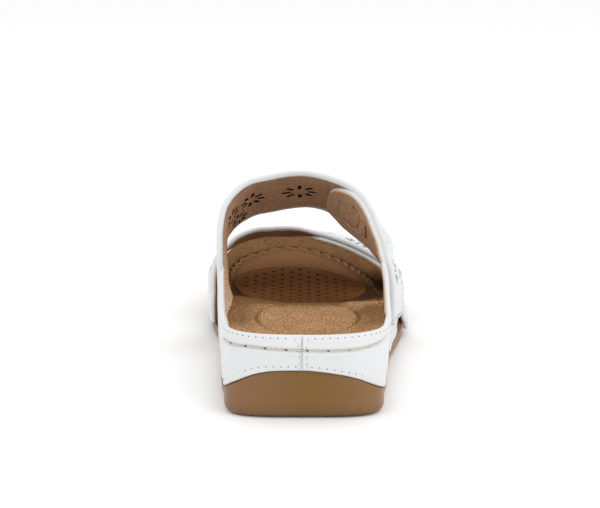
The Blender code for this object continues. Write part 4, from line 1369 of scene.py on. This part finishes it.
def wrap_leather():
    """The wrap's leather, with finer steps at the back seam and at the heavy seam."""
    sheet = wrap()
    arcs = np.concatenate([
        np.arange(sheet.arc[0], -6, 0.8), np.arange(-6, 6, 0.25), np.arange(6, sheet.arc[-1], 0.8), [sheet.arc[-1]]])
    turn = turn_on(arcs)[:, None]
    foot, head, top_edge = levels(turn)
    seam = top_edge - groove_line(turn)
    half = LEATHER / 2
    low, high = edge_steps(half), edge_steps(half)[::-1]
    share = np.linspace(0, 1, 13)[1:-1]
    z = np.concatenate([
        foot + low, foot + 1.3 + (seam - 1.9 - foot - 1.3) * share, seam + np.arange(-1.9, 1.95, 0.27),
        seam + 2.1 + (head - 1.3 - seam - 2.1) * share, head - high], axis=1)
    depth = np.minimum(z - foot, head - z)
    relief = wrap_relief(arcs[:, None], z) * np.clip(depth, 0, 1)
    share = (z - foot) / (head - foot)
    around = np.broadcast_to(turn, share.shape)
    round_it = rounding(depth, half)
    leather = cushion("heel_wrap_leather", sheet.at(around, share, half + half * round_it + relief),
                      sheet.at(around, share, half - half * round_it))
    settle(leather, "white_leather", "white_leather", "upper")


def wrap_seams():
    """The heavy seam's thread and holes, and the fine stitches along the top, the foot and the back seam."""
    sheet = wrap()
    size = bpy.context.scene.sandal_sizes
    pitch = size.heavy_pitch / MM
    span = np.arange(sheet.arc[0] + 10, sheet.arc[-1] - 10, 0.6)
    height = levels(turn_on(span))[2] - groove_line(turn_on(span))
    keep = np.searchsorted(span, span[0] + (1 - span[0] / pitch % 1.0) * pitch)
    span, height = span[keep:], height[keep:]
    thread = through(guide("heavy_line", *on_wrap(span, height, LEATHER - 0.62)), thread_tree(), "heavy_thread",
                     Pitch=size.heavy_pitch, Radius=0.00045, Dip=0.001, Thread=finish("cream_thread"))
    settle(thread, None, "white_leather")
    # Dark marks where the heavy thread dives: painted shade in the groove at each stitch.
    stitches("heavy_holes", *on_wrap(span, height, LEATHER - 0.85), "needle_hole", "needle_hole",
             Pitch=size.heavy_pitch, Stitch_Length=0.0028, Stitch_Thickness=0.0011, Hole_Radius=0.00005, Sink=0.0)

    top = np.arange(-66, 66.1, 0.6)
    low = np.arange(sheet.arc[0] + 4, sheet.arc[-1] - 4, 0.6)
    top_line, low_line = levels(turn_on(top))[2] - TOP_ROW, foot_seam(low, levels(turn_on(low))[0])
    for name, arc, line, part, way in (
            ("top_stitches_left", top, top_line, top < -5.0, -1),
            ("top_stitches_right", top, top_line, top > 3.0, 1),
            ("foot_stitches_left", low, low_line, low < -2.6, 1),
            ("foot_stitches_right", low, low_line, low > 2.0, 1)):
        points, outs = on_leather(arc[part], line[part])
        stitches(name, points[::way], outs[::way])
    heights = np.arange(22.4, 33.6, 0.4)
    for name, column in (("back_stitches_left", 1), ("back_stitches_right", 2)):
        points, outs = on_leather(np.array([blend(BACK_STITCHES, column, h) for h in heights]), heights)
        stitches(name, points, outs, Pitch=0.0026, Stitch_Thickness=0.0005, Hole_Radius=0.00027)


def wing_lining(name, side, first):
    """Lining of one wing from a station; on the medial side a wedge under it fills the room over the footbed."""
    sheet = wrap()
    ends = sorted((turn_at(y, side) + 0.5) % 1.0 - 0.5 for y in (first, WRAP_END[side] - 1.0))
    around = np.linspace(*ends, 90)[:, None]
    foot, head, top_edge = levels(around)
    base, crown = top_edge - 3.0, head - 1.1
    height = base + (crown - base) * np.linspace(0, 1, 14)[None, :-1]
    height = np.concatenate([height, crown - edge_steps(0.4)[::-1]], axis=1)
    share = (height - foot) / (head - foot)
    around = np.broadcast_to(around, share.shape)
    puff = rounding(np.minimum(crown - height, 0.4), 0.4)
    top = sheet.at(around, share, 0.3 * puff)
    station = sheet.at(around, share)[..., 1]
    wedge = 4.3 * ease(14, 72, station) * ((crown - height) / (crown - base)) ** 1.4 if side < 0 else 0.0
    lining = cushion(name, top, sheet.at(around, share, -(LINING + wedge) * puff))
    # The wing linings use the brighter lining: painted light.
    settle(lining, "pale_lining", "white_leather")


def make_heel_wrap():
    """White leather round the heel and the wedge's sides, with its heavy seam, back seam and wing linings."""
    wrap_leather()
    wrap_seams()
    wing_lining("wing_lining_medial", -1, 14)
    wing_lining("wing_lining_lateral", 1, 44)


def no_stand(place, across):
    """Stand of a strap that lies close on the foot."""
    return 0.0


def flower_marks(name, band, flowers, lift, stand):
    """The petals' places round each flower's centre on a strap."""
    size = bpy.context.scene.sandal_sizes
    radius = size.flower_radius / MM
    petals = []
    for index, (place, share) in enumerate(flowers):
        for k in range(size.petals):
            angle = math.tau * k / size.petals + 0.2 * (index % 3)
            petals.append((place + radius * math.cos(angle),
                           share + radius * math.sin(angle) / float(band.width(place)), angle))
    places, shares, angles = np.array(petals).T
    further = places + 0.5 * np.cos(angles), shares + 0.5 * np.sin(angles) / band.width(places)
    here = band.surface.at(places, shares, lift(places) + stand(places, shares))
    ahead = band.surface.at(*further, lift(places) + stand(*further))
    return guide(name, here, band.surface.normal(places, shares), ahead - here, joined=False)


def cut_flowers(piece, band, flowers, lift, stand, material, depth):
    """Cuts the flowers out of a strap or its lining."""
    size = bpy.context.scene.sandal_sizes
    marks = flower_marks(piece.name + "_marks", band, flowers, lift, stand)
    return cut_out(piece, material, marks, size.petal_length, size.petal_width, depth, 16)


def stepped(step, low):
    """Lift of a strap along its band: on the foot first, then over its tab."""
    return lambda place: low + (LEATHER + OVER) * ease(*step, place)


def flat_lift(low):
    return lambda place: low + 0.0 * np.asarray(place)


def lap_fill(step):
    """Fills the room between a tab and the strap above it."""
    return lambda place: (OVER - 0.06) * ease(step[1] - 4, step[1] + 8, place)


def turned_edge(place, w, depth):
    """Leather turned over the lining along a strap's edge."""
    return 0.65 * bell(depth - 1.3, 1.1)


def pressed(place, w, depth):
    """Soft fullness of a strap's middle, with its stitch line pressed in."""
    return 0.12 * (1 - bell(depth, 5.0)) - 0.16 * bell(depth - 2.5, 0.5)


def make_strap(name, band, shape, low, node, flowers=(), lined_flowers=0, stand=no_stand, fill=flat_lift(0.0),
               turned=None, lining_relief=None, edge=0.9, lined_with="strap_lining"):
    """Leather strap with its lining, edge stitching and cut flowers."""
    first, last, margin, radius = shape

    def high(place):
        return low(place) + LEATHER
    leather = band.strap(name + "_leather", shape, lambda p: low(p) - fill(p), high, relief=pressed, stand=stand,
                         relief_in=turned)
    if flowers:
        leather = cut_flowers(leather, band, flowers, lambda p: low(p) + 1.3, stand, "white_leather", 0.006)
    settle(leather, "white_leather", "white_leather", node)
    inner = (first, LINED.get(name, last), margin + edge, max(radius - edge, 1.0))
    lining = band.strap(name + "_lining", inner, lambda p: low(p) - LINING, lambda p: low(p) + 0.35, stand=no_stand,
                        relief_in=lining_relief)
    if lined_flowers:
        lining = cut_flowers(lining, band, flowers[:lined_flowers], low, no_stand, "strap_lining", 0.005)
    settle(lining, lined_with, "white_leather")
    stitches(name + "_stitches", *band.seam(shape, 2.5, high, start=4.0, stand=stand))


def puffed(place, across):
    """How far the instep strap stands off the foot's lateral side."""
    return 3.0 * bell(place - 153.0, 10.0) * ease(0.02, 0.3, across) * (1 - 0.7 * ease(0.7, 1.0, across))


def leaning(place, w, depth):
    """The lining's fullness where the strap's medial end goes down into the heel wrap."""
    return 2.4 * (1 - ease(26, 58, place)) * np.clip(depth / 3, 0, 1)


def pressed_patch(place, w, depth):
    """Stitched outline of the fastening patch, as it shows through the tab's lining."""
    first, last, margin = INSTEP_PATCH
    half = instep().width(place) / 2 - margin
    inside = np.minimum(np.minimum(place - first, last - place), half - np.abs(w))
    wander = 0.7 * np.sin(place * 0.5) + 0.5 * np.sin(w * 0.9 + 1)
    return 0.8 * bell(inside + wander, 0.7) - 0.4 * bell(inside + wander - 1.8, 0.9)


def rounded_patch(first, last, near, far):
    """Places and shares round a patch with full corners."""
    angle = np.radians(np.arange(0, 360, 5))
    square = (np.abs(np.cos(angle)) ** 4 + np.abs(np.sin(angle)) ** 4) ** -0.25
    return ((first + last) / 2 + (last - first) / 2 * np.cos(angle) * square + 0.5 * np.sin(3 * angle),
            (near + far) / 2 + (far - near) / 2 * np.sin(angle) * square)


def make_instep():
    """Instep strap lapped over its tab on the lateral side."""
    # The tab's lining is the brighter lining: painted light.
    make_strap("instep_tab", instep(), INSTEP_TAB, flat_lift(LAP), "upper", lining_relief=pressed_patch, edge=1.0,
               lined_with="pale_lining")
    make_strap("instep_strap", instep(), INSTEP_STRAP, stepped(INSTEP_STEP, LAP), "upper", INSTEP_FLOWERS,
               LINING_FLOWERS, puffed, lap_fill(INSTEP_STEP), turned_edge, leaning, edge=2.1)
    sheet = instep().surface
    place, across = rounded_patch(*PATCH_STITCHES)
    stitches("tab_patch_stitches", sheet.at(place, across, LAP - LINING - 0.05), -sheet.normal(place, across),
             "dark_thread", "dark_edge", closed=True, Pitch=0.0026, Stitch_Length=0.0019, Stitch_Thickness=0.0006,
             Hole_Radius=0.0003)
    place, across = np.array(TAB_PINS).T
    outs = -sheet.normal(place, across)
    pins = guide("tab_pins", sheet.at(place, across, LAP - LINING), outs, outs, joined=False)
    settle(through(pins, pin_tree(), "tab_pin_holes", Radius=0.0011, Hole=finish("dark_edge")), None, "white_leather")


def make_toe():
    """Toe strap lapped over its tab on the lateral side."""
    def hanging(place):
        return stepped(TOE_STEP, GAP)(place) + 2.2 * ease(150, 159, place)
    make_strap("toe_tab", toe(), TOE_TAB, flat_lift(GAP), "toe_strap", edge=1.0)
    first, last, margin, radius = TOE_STRAP
    make_strap("toe_strap", toe(), (first, last + TOE_HANG, margin, radius), hanging, "toe_strap", TOE_FLOWERS,
               fill=lap_fill(TOE_STEP))


# Stage: lamps as name, place, size and watts, in metres; the camera's place is in millimetres
LAMPS = [
    ("key", (0.75, -0.7, 0.9), 0.9, 17.0), ("fill", (-0.8, -0.5, 0.9), 0.9, 6.0), ("back", (0.1, 1.1, 1.2), 1.2, 12.0),
]
LAMP_AIM = (0.0, -0.03, 0.03)
CAMERA_PLACE = (-0.13, -693.53, 210.22)
CAMERA_DOWN_TURNED = (11.515, 0.124)   # degrees under the level and towards the medial side
CAMERA_LENS = 105.16


def make_stage():
    """Pale floor, soft studio light and the camera."""
    scene = bpy.context.scene
    light = scene.sandal_sizes
    mesh = bmesh.new()
    bmesh.ops.create_grid(mesh, x_segments=1, y_segments=1, size=6.0)
    floor = place_object("floor", mesh)
    paper = Finish("floor", 0.9, Base_Color=(0.97, 0.97, 0.97, 1.0))
    floor.data.materials.append(paper.material)
    floor.location.z = -0.0004
    scene.world = bpy.data.worlds.new("studio")
    scene.world.use_nodes = True
    room = scene.world.node_tree.nodes["Background"].inputs
    room["Color"].default_value = (1.0, 1.0, 1.0, 1.0)
    room["Strength"].default_value = light.room_light
    for name, place, size, power in LAMPS:
        data = bpy.data.lights.new(name, "AREA")
        data.energy, data.size = power * light.lamp_power, size
        lamp = linked(name, data)
        lamp.location = place
        lamp.rotation_euler = (Vector(LAMP_AIM) - Vector(place)).to_track_quat("-Z", "Y").to_euler()
    data = bpy.data.cameras.new("camera")
    data.sensor_width, data.lens = 36.0, CAMERA_LENS
    camera = linked("camera", data)
    camera.location = to_frame([CAMERA_PLACE])[0]
    down, turned = (math.radians(angle) for angle in CAMERA_DOWN_TURNED)
    aim = Vector((-math.sin(turned) * math.cos(down), math.cos(turned) * math.cos(down), -math.sin(down)))
    camera.rotation_euler = aim.to_track_quat("-Z", "Y").to_euler()
    scene.camera = camera
    scene.view_settings.view_transform = "Standard"


# Panel, properties and operators

def length(name, description, default):
    return FloatProperty(
        name=name, description=description, default=default, min=0.00001, unit="LENGTH", subtype="DISTANCE")


def colour(name, description, default):
    return FloatVectorProperty(name=name, description=description, default=default, min=0.0, max=1.0, subtype="COLOR")


class SandalSizes(bpy.types.PropertyGroup):
    """Sizes of the leatherwork and the strength of the light"""
    stitch_pitch: length("Stitch pitch", "Distance between the fine stitches", 0.00305)
    stitch_thickness: length("Stitch thickness", "Thickness of the fine thread", 0.0006)
    needle_hole: length("Needle hole", "Radius of the holes between the fine stitches", 0.00034)
    heavy_pitch: length("Heavy stitch pitch", "Distance between the stitches of the heavy heel seam", 0.0086)
    groove_depth: length("Groove depth", "Depth of the heavy heel seam", 0.0012)
    pad_pitch: length("Perforation pitch", "Distance between the holes of the ball pad", 0.0045)
    pad_hole: length("Perforation radius", "Radius of the holes of the ball pad", 0.00098)
    flower_radius: length("Flower radius", "From a flower's centre to the middle of its petals", 0.0053)
    petal_length: length("Petal length", "Length of each cut petal", 0.0047)
    petal_width: length("Petal width", "Width of each cut petal", 0.0020)
    petals: IntProperty(name="Petals", description="Petals of each flower", default=8, min=3, max=12)
    room_light: FloatProperty(name="Room light", description="Strength of the even light", default=1.0, min=0.0)
    lamp_power: FloatProperty(name="Lamp power", description="Factor on all lamps", default=0.22, min=0.0)


class SandalColours(bpy.types.PropertyGroup):
    """Colours of the sandal's materials"""
    leather: colour("Leather", "White strap and heel leather", (0.69, 0.70, 0.705))
    lining: colour("Lining", "Strap lining, light tufts", (0.75, 0.50, 0.33))
    lining_dark: colour("Lining, dark", "Strap lining, dark tufts", (0.44, 0.26, 0.15))
    heel_suede: colour("Heel suede", "Footbed suede under the heel", (0.61, 0.375, 0.193))
    heel_suede_dark: colour("Heel suede, dark", "Its dark tufts", (0.40, 0.215, 0.09))
    # Side suede: the suede's own tone, darkened partly as painted shade up the footbed's sides.
    side_suede: colour("Side suede", "Footbed suede up the sides", (0.295, 0.16, 0.07))
    # Panel, ball pad and toe rim: their own browns, darkened partly as painted shade under the straps.
    panel: colour("Panel", "Smooth cover round the ball pad", (0.215, 0.104, 0.047))
    pad: colour("Ball pad", "Perforated pad under the ball of the foot", (0.225, 0.094, 0.032))
    rim: colour("Toe rim", "Coarse suede round the toes", (0.285, 0.154, 0.072))
    rim_dark: colour("Toe rim, dark", "Its dark tufts", (0.15, 0.07, 0.028))
    rubber: colour("Rubber", "Gum rubber sole", (0.225, 0.115, 0.05))
    # The warm rubber colour is painted shade over the middle of the sole.
    rubber_middle_shade: colour("Rubber, warm", "Its warmer cloud", (0.185, 0.09, 0.014))
    thread: colour("Thread", "Heavy seam thread", (0.78, 0.70, 0.60))


def operator(suffix, label, text, work):
    """Operator class that runs one maker and raises if it fails."""
    def execute(self, context):
        work()
        return {"FINISHED"}
    return type(f"SANDAL_OT_{suffix}", (bpy.types.Operator,), {
        "bl_idname": f"sandal.{suffix}", "bl_label": label, "__doc__": text, "execute": execute,
        "bl_options": {"REGISTER", "UNDO"}})


OPERATORS = [
    operator("outsole", "Outsole", "Makes the rubber sole with its tread", make_outsole),
    operator("footbed", "Footbed", "Makes the suede footbed and its perforated ball pad", make_footbed),
    operator("toe_rim", "Toe rim", "Makes the gathered suede rim round the toes", make_toe_rim),
    operator("heel_wrap", "Heel wrap", "Makes the heel leather with its seams and linings", make_heel_wrap),
    operator("instep", "Instep strap", "Makes the instep strap and its tab", make_instep),
    operator("toe", "Toe strap", "Makes the toe strap and its tab", make_toe),
    operator("stage", "Stage", "Makes the floor, the light and the camera", make_stage),
]


class SANDAL_PT_panel(bpy.types.Panel):
    """Sizes, colours and makers of the sandal"""
    bl_idname = "SANDAL_PT_panel"
    bl_label = "Sandal"
    bl_space_type = "VIEW_3D"
    bl_region_type = "UI"
    bl_category = "Sandal"

    def draw(self, context):
        for group in (context.scene.sandal_sizes, context.scene.sandal_colours):
            for name in group.__annotations__:
                self.layout.prop(group, name)
        for made in OPERATORS:
            self.layout.operator(made.bl_idname)


CLASSES = [SandalSizes, SandalColours, *OPERATORS, SANDAL_PT_panel]


def register():
    for made in CLASSES:
        bpy.utils.register_class(made)
    bpy.types.Scene.sandal_sizes = PointerProperty(type=SandalSizes)
    bpy.types.Scene.sandal_colours = PointerProperty(type=SandalColours)


def unregister():
    del bpy.types.Scene.sandal_sizes, bpy.types.Scene.sandal_colours
    for made in reversed(CLASSES):
        bpy.utils.unregister_class(made)


def main():
    register()
    for made in OPERATORS:
        group, name = made.bl_idname.split(".")
        getattr(getattr(bpy.ops, group), name)()


if __name__ == "__main__":
    main()
